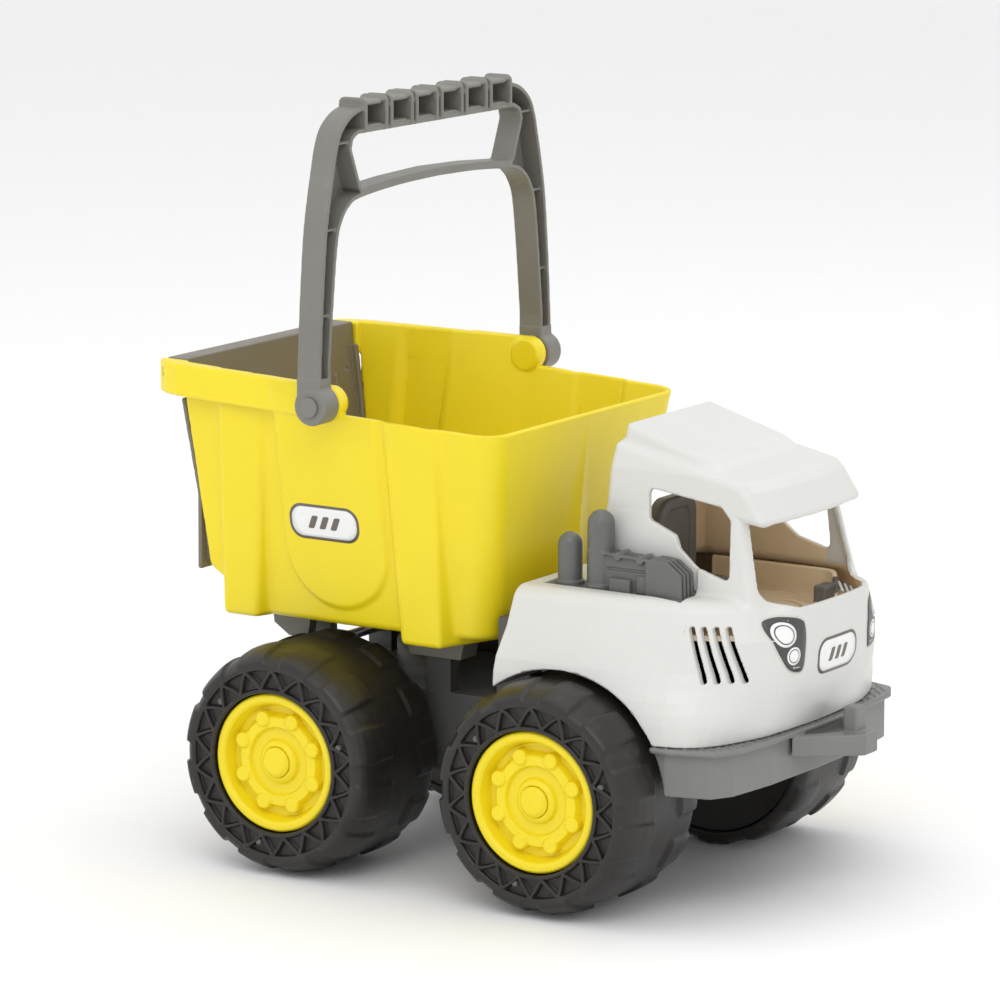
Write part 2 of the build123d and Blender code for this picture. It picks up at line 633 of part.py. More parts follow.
def bucket():
    """Yellow lift-off bucket, open at the rear for the tailgate."""
    shell = bucket_solid(0) - bucket_solid(WALL)
    shell -= above_rim()
    for band in rim_band():
        shell += band - bucket_form(WALL)
    shell += thin_rim()
    for sign in SIDES.values():
        y0, y1 = sorted((sign * (CRADLE_HALF_WIDTH + GAP), sign * (CRADLE_HALF_WIDTH + 3.0)))
        shell += block(-60, 0, y0, y1, BUCKET_FLOOR_Z - 3.5, BUCKET_FLOOR_Z + 1)
        bore0, bore1 = sorted((sign * 82.0, sign * 89.5))
        shell -= rod(TAILGATE_X, TAILGATE_Z, bore0, bore1, TAILGATE_PIN_RADIUS + RUNNING_GAP)
        shell -= rod(HANDLE_X, HANDLE_Z, *sorted((sign * 90, sign * 110)), HANDLE_PIN_RADIUS)
    shell += block(CRADLE_FRONT_X + GAP, CRADLE_FRONT_X + 3.0, -50, 50, BUCKET_FLOOR_Z - 3.5, BUCKET_FLOOR_Z + 1)
    return shell


# ---------------------------------------------------------------- tailgate
TAILGATE_X = -181.0
TAILGATE_Z = 267.0
TAILGATE_PIN_RADIUS = 3.0
TAILGATE_HALF_WIDTH = 82.0


def tailgate():
    """Grey tailgate that hangs from two stub pins in the rear corners of the rim."""
    half = TAILGATE_HALF_WIDTH
    bar = side_profile([
        (-188, 269), (-186, 274), (-173.5, 274), (-172.6, 262), (-175.6, 262), (-177, 270.8), (-186, 270.8),
    ], -half, half)
    panel = side_profile([
        (-175.8, 263), (-167, 200), (-167.4, 156), (-164.8, 156), (-164.4, 200), (-173.2, 263),
    ], -half, half)
    piece = bar + panel
    for sign in SIDES.values():
        y0, y1 = sorted((sign * (half - 2), sign * half))
        piece += block(-184.5, -175, y0, y1, 263.5, 272)
        piece += rod(TAILGATE_X, TAILGATE_Z, *sorted((sign * (half - 1), sign * 88.5)), TAILGATE_PIN_RADIUS)
        piece -= Pos(-172, sign * 72, 247) * Rot(0, 90, 0) * Cylinder(1.5, 12)
    return piece


# ---------------------------------------------------------------- handle
HANDLE_REAR_X = -74.0
HANDLE_FRONT_X = -59.2
HANDLE_FLANGE = 2.4
KNUCKLE_RADIUS = 10.4
KNUCKLE_INNER_Y = 106.2
HANDLE_PIN_RADIUS = 4.0
GRIP_SEGMENTS = 6
GRIP_PITCH = 25.0
GRIP_BOTTOM_Z = 406.5
GRIP_TOP_Z = 425.5


def outer_bow(inset):
    """Outline of the handle, from one foot over the top to the other."""
    t = inset
    half = [(118 - t, HANDLE_Z), (115.2 - t, 310), (111 - t, 355), (103.5 - t, 388 - 0.3 * t),
            (96 - t, 408 - 0.6 * t), (85 - 0.5 * t, 418 - t), (70, HANDLE_TOP_Z - t)]
    right = Spline(*[(HANDLE_REAR_X, y, z) for y, z in half])
    left = Spline(*[(HANDLE_REAR_X, -y, z) for y, z in half])
    top = Line(right @ 1, left @ 1)
    bottom = Line(left @ 0, right @ 0)
    return make_face(Wire([right, top, left, bottom]))


def leg_opening(grow):
    """Gap between the legs, up to the arched cross bar."""
    g = grow
    half = [(KNUCKLE_INNER_Y + g, HANDLE_Z - 12), (KNUCKLE_INNER_Y + g, 284), (102.5 + g, 320), (98.5 + g, 352),
            (92 + g, 366 + 0.6 * g), (80, 372 + g), (40, 374.8 + g), (0, 375.8 + g)]
    points = half + [(-y, z) for y, z in reversed(half[:-1])]
    return make_face(Polyline(*[(HANDLE_REAR_X, y, z) for y, z in points], close=True))


def hand_opening(grow):
    """Hand hole between the arched bar and the grip."""
    g = grow
    half = [(0, 380.2 - g), (40, 379 - g), (75.5 + g, 376.2 - g), (84.5 + g, 399), (83 + g, 404 + 0.5 * g),
            (78, GRIP_BOTTOM_Z + g)]
    points = half + [(-y, z) for y, z in reversed(half[1:])]
    return make_face(Polyline(*[(HANDLE_REAR_X, y, z) for y, z in points], close=True))


def prism_x(face, x0, x1):
    """Push a face that lies on the back of the handle forward between two stations."""
    return Pos(x0 - HANDLE_REAR_X, 0, 0) * extrude(face, amount=x1 - x0, dir=(1, 0, 0))


def handle():
    """Channel-section carry handle, open to the front, with a six-finger grip and forked knuckles."""
    flange = HANDLE_FLANGE
    body = prism_x(outer_bow(0), HANDLE_REAR_X, HANDLE_FRONT_X)
    pocket = prism_x(outer_bow(flange), HANDLE_REAR_X + flange, HANDLE_FRONT_X + 1)
    solid_bars = prism_x(leg_opening(flange), HANDLE_REAR_X, HANDLE_FRONT_X + 2)
    solid_bars += prism_x(hand_opening(flange), HANDLE_REAR_X, HANDLE_FRONT_X + 2)
    pocket -= solid_bars
    pocket &= block(HANDLE_REAR_X, HANDLE_FRONT_X + 2, -130, 130, 274, GRIP_TOP_Z)
    body -= pocket
    body -= prism_x(leg_opening(0), HANDLE_REAR_X - 1, HANDLE_FRONT_X + 1)
    body -= prism_x(hand_opening(0), HANDLE_REAR_X - 1, HANDLE_FRONT_X + 1)
    for z, y0, y1 in ((310, 102, 114), (356, 98, 110.5), (402, 84, 98)):
        for sign in SIDES.values():
            rib0, rib1 = sorted((sign * y0, sign * y1))
            body += block(HANDLE_REAR_X + 1, HANDLE_FRONT_X - 2, rib0, rib1, z, z + 1.3)
    for i in range(GRIP_SEGMENTS):
        y = GRIP_PITCH * (i - (GRIP_SEGMENTS - 1) / 2)
        segment = block(HANDLE_REAR_X - 2, HANDLE_FRONT_X + 1.5, y - 11.2, y + 11.2, GRIP_BOTTOM_Z, GRIP_TOP_Z)
        segment = fillet(segment.edges().filter_by(Axis.Y), 3.5)
        segment -= block(HANDLE_REAR_X + 2, HANDLE_FRONT_X + 3, y - 8.8, y + 8.8, GRIP_BOTTOM_Z + 2.6,
                         GRIP_TOP_Z - 2.6)
        body -= block(HANDLE_REAR_X + 2, HANDLE_FRONT_X + 3, y - 8.8, y + 8.8, GRIP_BOTTOM_Z + 2.6, 423)
        body += segment
    for sign in SIDES.values():
        y0, y1 = sorted((sign * KNUCKLE_INNER_Y, sign * KNUCKLE_Y))
        body += rod(HANDLE_X, HANDLE_Z, y0, y1, KNUCKLE_RADIUS)
        foot0, foot1 = sorted((sign * KNUCKLE_INNER_Y, sign * 118.0))
        body += block(HANDLE_REAR_X, HANDLE_FRONT_X, foot0, foot1, HANDLE_Z, 276)
        cut0, cut1 = sorted((sign * 98, sign * KNUCKLE_INNER_Y))
        body -= block(HANDLE_REAR_X - 2, HANDLE_FRONT_X + 2, cut0, cut1, 245, 273)
        body -= block(HANDLE_REAR_X - 2, HANDLE_FRONT_X + 2, *sorted((sign * 100, sign * 125)), 240,
                      HANDLE_Z) - rod(HANDLE_X, HANDLE_Z, *sorted((sign * 99, sign * 126)), KNUCKLE_RADIUS)
        body -= rod(HANDLE_X, HANDLE_Z, *sorted((sign * 100, sign * 125)), HANDLE_PIN_RADIUS + RUNNING_GAP)
    return body


def handle_pins():
    """Two headed pins that carry the handle."""
    pins = []
    for sign in SIDES.values():
        shank = rod(HANDLE_X, HANDLE_Z, *sorted((sign * 98.0, sign * (KNUCKLE_Y + 0.3))), HANDLE_PIN_RADIUS)
        head = rod(HANDLE_X, HANDLE_Z, *sorted((sign * (KNUCKLE_Y + 0.3), sign * (KNUCKLE_Y + 1.6))), 5.4)
        pins.append(shank + head)
    return pins


# ---------------------------------------------------------------- tipping cradle
CRADLE_HALF_WIDTH = 54.0
CRADLE_REAR_X = -137.0
CRADLE_FRONT_X = 6.0
CRADLE_THICKNESS = 4.5


def cradle():
    """Tipping bed that carries the bucket: a ribbed plate with rest lugs and hinge ears."""
    top = BUCKET_FLOOR_Z
    half = CRADLE_HALF_WIDTH
    piece = block(RAMP_START_X, CRADLE_FRONT_X, -half, half, top - CRADLE_THICKNESS, top)
    rear_rail = [
        (RAMP_START_X, top), (CRADLE_REAR_X, ramp_z(CRADLE_REAR_X) - GAP), (CRADLE_REAR_X + 2, 124),
        (CRADLE_REAR_X + 12, CRADLE_LUG_Z + 1), (-112, CRADLE_LUG_Z + 1), (-110, top - 4),
    ]
    front_lug = [(-46, top - 4), (-44, CRADLE_LUG_Z), (-10, CRADLE_LUG_Z), (-7, top - 4)]
    for sign in SIDES.values():
        piece += side_profile(rear_rail, *sorted((sign * (half - 7), sign * half)))
        piece += side_profile(front_lug, *sorted((sign * (half - 16), sign * half)))
        ear0, ear1 = sorted((sign * (TOWER_OUTER_Y + GAP), sign * (TOWER_OUTER_Y + 7)))
        ear = block(HINGE_X - 8, HINGE_X + 8, ear0, ear1, HINGE_Z, top - 4)
        piece += ear + rod(HINGE_X, HINGE_Z, ear0, ear1, 8.0)
    piece -= rod(HINGE_X, HINGE_Z, -45, 45, HINGE_PIN_RADIUS + RUNNING_GAP)
    return piece


def hinge_pin():
    """Steel pin through the towers and ears of the tipping bed."""
    return rod(HINGE_X, HINGE_Z, -TOWER_OUTER_Y - 9, TOWER_OUTER_Y + 9, HINGE_PIN_RADIUS)


def bucket_labels():
    """Printed emblem on the shield on each side of the bucket."""
    outline = Plane.XZ * Pos(BUCKET_LABEL_X, BUCKET_LABEL_Z) * RectangleRounded(46.0, EMBLEM_HEIGHT, EMBLEM_CORNER)
    prism = extrude(outline, amount=KNUCKLE_Y, both=True)
    skins = [outer - panel for outer, panel in zip(shield(-LABEL_THICKNESS), shield(0))]
    return [skin & prism for skin in skins]


# ---------------------------------------------------------------- main
if __name__ == "__main__":
    os.makedirs("parts", exist_ok=True)
    write_wheels()
    write_axles()
    write("chassis_frame", chassis_frame())
    write("front_bumper", front_bumper())
    write("cab_shell", cab_shell())
    write_group("cab_screws", cab_screws())
    write_group("bumper_screws", bumper_screws())
    write("engine", engine())
    write("seat", seat())
    write_group("headlamp_labels", headlamp_labels())
    write("front_label", front_label())
    write("cradle", cradle())
    write("hinge_pin", hinge_pin())
    write("bucket", bucket())
    write_group("bucket_labels", bucket_labels())
    write("tailgate", tailgate())
    write("handle", handle())
    write_group("handle_pins", handle_pins())
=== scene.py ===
"""Looks of the toy dump truck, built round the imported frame.

Moulded pieces are distance fields in millimetres, turned into meshes by mesh_of().  In the fields
x is the station from the middle of the wheelbase (front is +x), y is across and z is up, and every
field takes p, an array of points with one row each, and gives the distance to the surface,
negative inside the plastic.
"""
import json
import math
import bmesh
import bpy
import numpy as np
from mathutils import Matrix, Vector


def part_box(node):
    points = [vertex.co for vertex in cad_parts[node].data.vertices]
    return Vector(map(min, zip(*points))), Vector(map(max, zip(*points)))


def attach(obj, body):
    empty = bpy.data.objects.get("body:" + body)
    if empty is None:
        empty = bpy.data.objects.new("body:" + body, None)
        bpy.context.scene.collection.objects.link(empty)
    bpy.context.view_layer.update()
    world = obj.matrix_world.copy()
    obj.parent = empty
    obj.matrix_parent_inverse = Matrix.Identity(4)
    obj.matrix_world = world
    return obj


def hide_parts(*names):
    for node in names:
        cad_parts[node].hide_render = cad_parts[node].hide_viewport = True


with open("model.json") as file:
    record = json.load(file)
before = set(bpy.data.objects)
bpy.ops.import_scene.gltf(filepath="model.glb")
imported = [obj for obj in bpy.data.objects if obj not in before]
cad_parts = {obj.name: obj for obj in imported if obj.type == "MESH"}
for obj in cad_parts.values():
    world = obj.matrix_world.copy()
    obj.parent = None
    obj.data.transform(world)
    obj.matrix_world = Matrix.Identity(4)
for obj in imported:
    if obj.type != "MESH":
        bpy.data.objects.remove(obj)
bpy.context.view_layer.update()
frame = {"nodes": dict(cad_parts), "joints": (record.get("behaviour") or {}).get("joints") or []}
QUALITY = 1.0     # coarser meshes while trying things
MM = 1000.0


def node_box(node):
    """Lowest and highest corner of a CAD node, in millimetres."""
    low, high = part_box(node)
    return np.array(low) * MM, np.array(high) * MM


def node_centre(node):
    low, high = node_box(node)
    return (low + high) / 2


FRONT_AXLE = node_centre("front_axle")
REAR_AXLE = node_centre("rear_axle")
MID_X = (FRONT_AXLE[0] + REAR_AXLE[0]) / 2
AXLE_X = (FRONT_AXLE[0] - REAR_AXLE[0]) / 2          # stations of the axles are +AXLE_X and -AXLE_X
AXLE_Z = FRONT_AXLE[2]
HINGES = {j["name"]: np.array(j["pos_m"]) * MM for j in frame["joints"] if "pos_m" in j}
HANDLE_X = HINGES["handle_swing"][0] - MID_X
HANDLE_Z = HINGES["handle_swing"][2]
TAILGATE_X = HINGES["tailgate_swing"][0] - MID_X
TAILGATE_Z = HINGES["tailgate_swing"][2]
WALL = 3.4


# ---------------------------------------------------------------- distance fields
def length(*parts):
    return np.sqrt(sum(part * part for part in parts))


def join(a, b, fillet=0.0):
    """Union of two fields, with a fillet where they meet."""
    if fillet == 0:
        return np.minimum(a, b)
    return np.maximum(fillet, np.minimum(a, b)) - length(np.maximum(fillet - a, 0), np.maximum(fillet - b, 0))


def common(a, b, rounding=0.0):
    """Intersection of two fields, with a rounded edge where they meet."""
    if rounding == 0:
        return np.maximum(a, b)
    return np.minimum(-rounding, np.maximum(a, b)) + length(np.maximum(rounding + a, 0),
                                                           np.maximum(rounding + b, 0))


def cut(a, b, rounding=0.0):
    """The first field without the second."""
    return common(a, -b, rounding)


def slab(t, low, high):
    return np.abs(t - (low + high) / 2) - (high - low) / 2


def ramp(t, start, end):
    """Smooth step from 0 at start to 1 at end."""
    s = np.clip((t - start) / (end - start), 0, 1)
    return s * s * (3 - 2 * s)


def polygon(u, v, points):
    """Exact distance to a closed outline."""
    best = np.full(u.shape, 1e12)
    sign = np.ones(u.shape)
    for (ax, ay), (bx, by) in zip(points, points[-1:] + points[:-1]):
        ex, ey = bx - ax, by - ay
        wx, wy = u - ax, v - ay
        t = np.clip((wx * ex + wy * ey) / (ex * ex + ey * ey), 0, 1)
        best = np.minimum(best, (wx - ex * t) ** 2 + (wy - ey * t) ** 2)
        above, below, left = v >= ay, v < by, ex * wy > ey * wx
        sign = np.where((above & below & left) | ~(above | below | left), -sign, sign)
    return sign * np.sqrt(best)


def inset(points, amount):
    """Outline with every edge moved inwards."""
    area = sum(ax * by - bx * ay for (ax, ay), (bx, by) in zip(points, points[1:] + points[:1]))
    turn = 1.0 if area > 0 else -1.0
    moved = []
    for i, (x, y) in enumerate(points):
        (px, py), (nx, ny) = points[i - 1], points[(i + 1) % len(points)]
        a, b = Vector((x - px, y - py)).normalized(), Vector((nx - x, ny - y)).normalized()
        normal_a, normal_b = Vector((-a.y, a.x)) * turn, Vector((-b.y, b.x)) * turn
        middle = normal_a + normal_b
        moved.append((x + amount * middle.x * 2 / middle.length_squared,
                      y + amount * middle.y * 2 / middle.length_squared))
    return moved


def smooth_outline(points, steps=4):
    """Catmull-Rom curve through points whose coordinates may be arrays."""
    curve = []
    for i in range(len(points) - 1):
        a, b = points[max(i - 1, 0)], points[i]
        c, d = points[i + 1], points[min(i + 2, len(points) - 1)]
        for k in range(steps):
            t = k / steps
            weights = (-0.5 * t + t * t - 0.5 * t ** 3, 1 - 2.5 * t * t + 1.5 * t ** 3,
                       0.5 * t + 2 * t * t - 1.5 * t ** 3, -0.5 * t * t + 0.5 * t ** 3)
            curve.append(tuple(sum(w * q[axis] for w, q in zip(weights, (a, b, c, d))) for axis in (0, 1)))
    return curve + [points[-1]]


def rounded(u, v, points, radius):
    """Distance to a closed outline whose convex corners are rounded."""
    return polygon(u, v, inset(points, radius)) - radius


def bar(p, axis, at, radius, low, high, edge=0.6):
    """Round bar along an axis through a point given by the other two coordinates."""
    a, b = [i for i in range(3) if i != axis]
    return common(length(p[:, a] - at[0], p[:, b] - at[1]) - radius, slab(p[:, axis], low, high), edge)


def brick(p, low, high, edge=0.6):
    """Box with rounded edges."""
    low, high = np.array(low, float), np.array(high, float)
    q = np.abs(p - (low + high) / 2) - (high - low) / 2 + edge
    return length(*np.maximum(q, 0).T) + np.minimum(q.max(1), 0) - edge


def both_sides(p):
    """The points folded onto the +y side, for pieces with mirror symmetry."""
    return np.stack([p[:, 0], np.abs(p[:, 1]), p[:, 2]], 1)


# ---------------------------------------------------------------- meshes from fields
BLOCK = 4
TETRA = np.array([(1, 1, 1), (1, -1, -1), (-1, 1, -1), (-1, -1, 1)], float)


def gradient(field, points, reach):
    """Mean value and gradient of a field round each point."""
    values = [field(points + corner * reach) for corner in TETRA]
    slope = sum(value[:, None] * corner for value, corner in zip(values, TETRA)) / (4 * reach)
    return sum(values) / 4, slope


def sample(field, low, high, step):
    """Field values on a grid; only the blocks near the surface are worked out point by point."""
    low = np.array(low, float) - 2 * step
    blocks = np.ceil((np.array(high, float) + 2 * step - low) / (step * BLOCK)).astype(int)
    middles = [low[i] + step * (BLOCK * np.arange(blocks[i]) + (BLOCK - 1) / 2) for i in range(3)]
    centres = np.stack(np.meshgrid(*middles, indexing="ij"), -1).reshape(-1, 3)
    rough = field(centres)
    near = np.abs(rough) < step * BLOCK * 1.6
    inner = np.stack(np.meshgrid(*[np.arange(BLOCK)] * 3, indexing="ij"), -1).reshape(-1, 3)
    offsets = step * (inner - (BLOCK - 1) / 2)
    fine = np.repeat(rough[:, None], BLOCK ** 3, axis=1)
    fine[near] = field((centres[near][:, None] + offsets).reshape(-1, 3)).reshape(-1, BLOCK ** 3)
    values = fine.reshape(*blocks, BLOCK, BLOCK, BLOCK).transpose(0, 3, 1, 4, 2, 5)
    return values.reshape(blocks * BLOCK), low


def surface(field, low, high, step):
    """Points, quads and normals of a field's surface, by surface nets."""
    values, origin = sample(field, low, high, step)
    inside = values < 0
    count = sum(inside[i:i - 1 or None, j:j - 1 or None, k:k - 1 or None].astype(np.int8)
                for i in (0, 1) for j in (0, 1) for k in (0, 1))
    cells = np.argwhere((count > 0) & (count < 8))
    total, hits = np.zeros(cells.shape), np.zeros(len(cells))
    corners = [np.array((i, j, k)) for i in (0, 1) for j in (0, 1) for k in (0, 1)]
    for a in corners:
        for axis in range(3):
            if a[axis]:
                continue
            b = a + np.eye(3, dtype=int)[axis]
            start, end = values[tuple((cells + a).T)], values[tuple((cells + b).T)]
            crosses = (start < 0) != (end < 0)
            share = np.where(crosses, start / np.where(crosses, start - end, 1), 0)
            total += np.where(crosses[:, None], a + share[:, None] * (b - a), 0)
            hits += crosses
    points = origin + step * (cells + total / hits[:, None])
    for _ in range(3):
        value, slope = gradient(field, points, 0.2 * step)
        move = -value / np.maximum((slope ** 2).sum(1), 0.2)
        move = np.clip(move, -0.5 * step, 0.5 * step)
        points = points + move[:, None] * slope
    normals = gradient(field, points, 0.2 * step)[1]
    normals /= np.maximum(np.linalg.norm(normals, axis=1, keepdims=True), 1e-9)
    number = np.full(count.shape, -1)
    number[tuple(cells.T)] = np.arange(len(cells))
    quads = []
    for axis in range(3):
        unit = np.eye(3, dtype=int)
        side_b, side_c = unit[(axis + 1) % 3], unit[(axis + 2) % 3]
        lower = [slice(None)] * 3
        upper = [slice(None)] * 3
        lower[axis], upper[axis] = slice(0, -1), slice(1, None)
        edges = np.argwhere(inside[tuple(lower)] != inside[tuple(upper)])
        ring = [edges - side_b - side_c, edges - side_c, edges, edges - side_b]
        quad = np.stack([number[tuple(c.T)] for c in ring], 1)
        flip = ~inside[tuple(edges.T)]
        quad[flip] = quad[flip][:, ::-1]
        quads.append(quad)
    return points, np.concatenate(quads), normals


def to_frame(points):
    """Stations in millimetres to the row frame in metres."""
    return (points + np.array([MID_X, 0.0, 0.0])) / MM


def mesh_object(name, points, faces, materials, normals=None, indices=None):
    """Smooth-shaded object from points in stations."""
    mesh = bpy.data.meshes.new(name)
    mesh.from_pydata(to_frame(np.asarray(points, float)).tolist(), [], np.asarray(faces).tolist()
                     if not isinstance(faces, list) else faces)
    for material in materials:
        mesh.materials.append(material)
    mesh.shade_smooth()
    if indices is not None:
        mesh.polygons.foreach_set("material_index", np.asarray(indices, np.int32))
    if normals is not None:
        mesh.normals_split_custom_set_from_vertices(normals.tolist())
    mesh.validate()
    piece = bpy.data.objects.new(name, mesh)
    bpy.context.scene.collection.objects.link(piece)
    return piece


def mesh_of(name, field, low, high, step, materials, pick=None):
    """Object from a field; pick gives each face centre's material number."""
    points, quads, normals = surface(field, low, high, step * QUALITY)
    print(name, len(quads), "quads")
    indices = pick(points[quads].mean(1)) if pick else None
    return mesh_object(name, points, quads, materials, normals, indices)


def place(piece, body, slot, *nodes):
    """Hand a piece to its body, in place of the CAD nodes that it shows in detail."""
    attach(piece, body)
    if nodes:
        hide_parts(*nodes)
    return piece


# ---------------------------------------------------------------- materials
def plastic(name, colour, roughness=0.42, grain=0.25, mottle=0.04, scuff=0.0, grain_scale=900.0):
    """Moulded plastic: slight mottling of the colour, uneven gloss, fine moulded grain and pale scuffs."""
    material = bpy.data.materials.new(name)
    material.use_nodes = True
    nodes, links = material.node_tree.nodes, material.node_tree.links
    shader = nodes["Principled BSDF"]
    where = nodes.new("ShaderNodeTexCoord").outputs["Object"]

    def noise(scale, detail=4.0):
        node = nodes.new("ShaderNodeTexNoise")
        node.inputs["Scale"].default_value = scale
        node.inputs["Detail"].default_value = detail
        links.new(where, node.inputs["Vector"])
        return node.outputs["Fac"]

    def mapped(source, low, high, start=0.3, end=0.7):
        node = nodes.new("ShaderNodeMapRange")
        node.inputs["From Min"].default_value = start
        node.inputs["From Max"].default_value = end
        node.inputs["To Min"].default_value = low
        node.inputs["To Max"].default_value = high
        links.new(source, node.inputs["Value"])
        return node.outputs["Result"]

    def mixed(factor, a, b):
        node = nodes.new("ShaderNodeMix")
        node.data_type = "RGBA"
        links.new(factor, node.inputs["Factor"])
        for socket, value in ((6, a), (7, b)):
            if isinstance(value, bpy.types.NodeSocket):
                links.new(value, node.inputs[socket])
            else:
                node.inputs[socket].default_value = (*value, 1.0)
        return node.outputs[2]

    darker = [channel * (1 - mottle) for channel in colour]
    lighter = [min(channel * (1 + mottle), 1.0) for channel in colour]
    base = mixed(mapped(noise(22.0), 0.0, 1.0), darker, lighter)
    if scuff > 0:
        pale = [0.7 * channel + 0.3 * 0.6 for channel in colour]
        marks = mapped(noise(140.0, 8.0), 0.0, scuff, 0.60, 0.72)
        base = mixed(marks, base, pale)
    links.new(base, shader.inputs["Base Color"])
    links.new(mapped(noise(60.0), roughness - 0.05, roughness + 0.06), shader.inputs["Roughness"])
    bump = nodes.new("ShaderNodeBump")
    bump.inputs["Strength"].default_value = grain
    bump.inputs["Distance"].default_value = 0.0002
    links.new(noise(grain_scale, 2.0), bump.inputs["Height"])
    links.new(bump.outputs["Normal"], shader.inputs["Normal"])
    return material


YELLOW = plastic("yellow_plastic", (0.86, 0.69, 0.009), 0.38, 0.12, 0.02)
WHITE = plastic("white_plastic", (0.655, 0.655, 0.630), 0.36, 0.12, 0.015)
# Painted warm shade: this tan stands in for the shade and the warm bounce light from the yellow bucket inside
# the white cab; it colours the cab's inner faces and the cab floor and liner.
PAINTED_WARM_SHADE = plastic("painted_warm_shade_plastic", (0.84, 0.68, 0.47), 0.5, 0.2, 0.05)
GREY = plastic("grey_plastic", (0.190, 0.185, 0.165), 0.42, 0.2, 0.05, 0.10)
BUMPER_GREY = plastic("light_grey_plastic", (0.185, 0.190, 0.180), 0.42, 0.2, 0.04, 0.08)
ENGINE_GREY = plastic("dark_grey_plastic", (0.125, 0.128, 0.122), 0.40, 0.2, 0.05, 0.10)
TYRE = plastic("tyre_plastic", (0.0140, 0.0118, 0.0102), 0.40, 0.5, 0.12, 0.05, 500.0)
# Grey plastic. Its brownish tint is painted warm reflection from the yellow bucket.
TAILGATE_GREY = plastic("tailgate_plastic", (0.180, 0.160, 0.125), 0.45, 0.2, 0.05, 0.08)
PRINT_WHITE = plastic("print_white", (0.84, 0.84, 0.83), 0.30, 0.05, 0.01)
PRINT_TAUPE = plastic("print_taupe", (0.135, 0.115, 0.095), 0.32, 0.05, 0.03)
PRINT_GREY = plastic("print_grey", (0.060, 0.058, 0.058), 0.32, 0.05, 0.03)
PRINT_PALE = plastic("print_pale", (0.62, 0.60, 0.56), 0.30, 0.05, 0.03)
CHASSIS_GREY = plastic("chassis_plastic", (0.085, 0.084, 0.080), 0.42, 0.2, 0.05, 0.08)
SCREW = plastic("blackened_steel", (0.10, 0.10, 0.10), 0.35, 0.1, 0.06)
STEEL = plastic("zinc_steel", (0.55, 0.55, 0.56), 0.30, 0.1, 0.06)
STEEL.node_tree.nodes["Principled BSDF"].inputs["Metallic"].default_value = 1.0


# ---------------------------------------------------------------- bucket
FLOOR_Z = node_box("bucket")[0][2] + 4.6           # underside of the bucket's floor, just off the cradle
THIN_RIM = ((-52.0, 255.6), (41.0, 251.4))         # line of the thin rim, rear end and front end
BAND_TOP = ((-190.0, 274.0), (HANDLE_X, 271.5))    # line of the thick rim's top
BAND_HEIGHT = 18.5
BAND_PLAN = [(HANDLE_X, 105.3), (-105, 102.3), (-152, 98.2), (-170, 96.5), (-180, 93.0), (-187, 88.0),
             (-190, 82.5), (-170.5, 82.5), (-170.5, 88), (HANDLE_X, 100.5)]


def on_line(x, ends):
    """Height at a station of the straight line through two (x, z) points."""
    (x0, z0), (x1, z1) = ends
    return z0 + (z1 - z0) * (x - x0) / (x1 - x0)


def between(t, a, b):
    return a + (b - a) * t


def tub(p):
    """Outside of the tapered tub, without its ribs."""
    x, y, z = p.T
    t = (z - 134.0) / 122.0
    rear, front = between(t, -157, -170.5), between(t, 23, 40.5)
    width = np.where(
        x < HANDLE_X,
        between(np.clip((x - rear) / (HANDLE_X - rear), -0.5, 1), between(t, 78.5, 88), between(t, 82, 101)),
        between(np.clip((x - HANDLE_X) / (front - HANDLE_X), 0, 1.3),
                between(t, 82, 101), between(t, 77, 99.5)),
    )
    side = (np.abs(y) - width) * 0.985
    nose = (x - front) * 0.99
    floor = common(FLOOR_Z - z, (FLOOR_Z + 21.0 * (-122.0 - x) / 35.0 - z) * 0.86, 4.0)
    return common(common(side, nose, 16.0), floor, 4.0)


def rib(p, foot, head, face, bottom):
    """Rib on the side wall: x range and half-width at its foot and under the rim."""
    x, y, z = p.T
    t = (z - bottom) / (252.0 - bottom)
    x0, x1 = between(t, foot[0], head[0]), between(t, foot[1], head[1])
    sides = np.abs(x - (x0 + x1) / 2) - (x1 - x0) / 2 + 0.35 * (np.abs(y) - between(t, face[0], face[1]) + 4)
    return common(common(sides * 0.94, (np.abs(y) - between(t, *face)) * 0.985, 2.5), bottom - z, 3.0)


def shield(p):
    """Broad raised panel with a round bottom."""
    x, y, z = p.T
    across = x + 68.5
    outline = np.where(z > 178, np.abs(across) - 33, length(across, z - 178) - 33)
    return common(outline, (np.abs(y) - between((z - 146) / 106, 85.2, 101.6)) * 0.985, 1.8)


def ribbed_tub(p):
    body = join(tub(p), rib(p, (-147, -122), (-145, -112), (87.5, 94.8), 133.5), 2.0)
    return join(body, rib(p, (-28, 0), (-31, 4), (88.0, 101.2), 129.5), 2.0)


def tub_outside(p):
    return join(ribbed_tub(p), shield(p), 2.5)


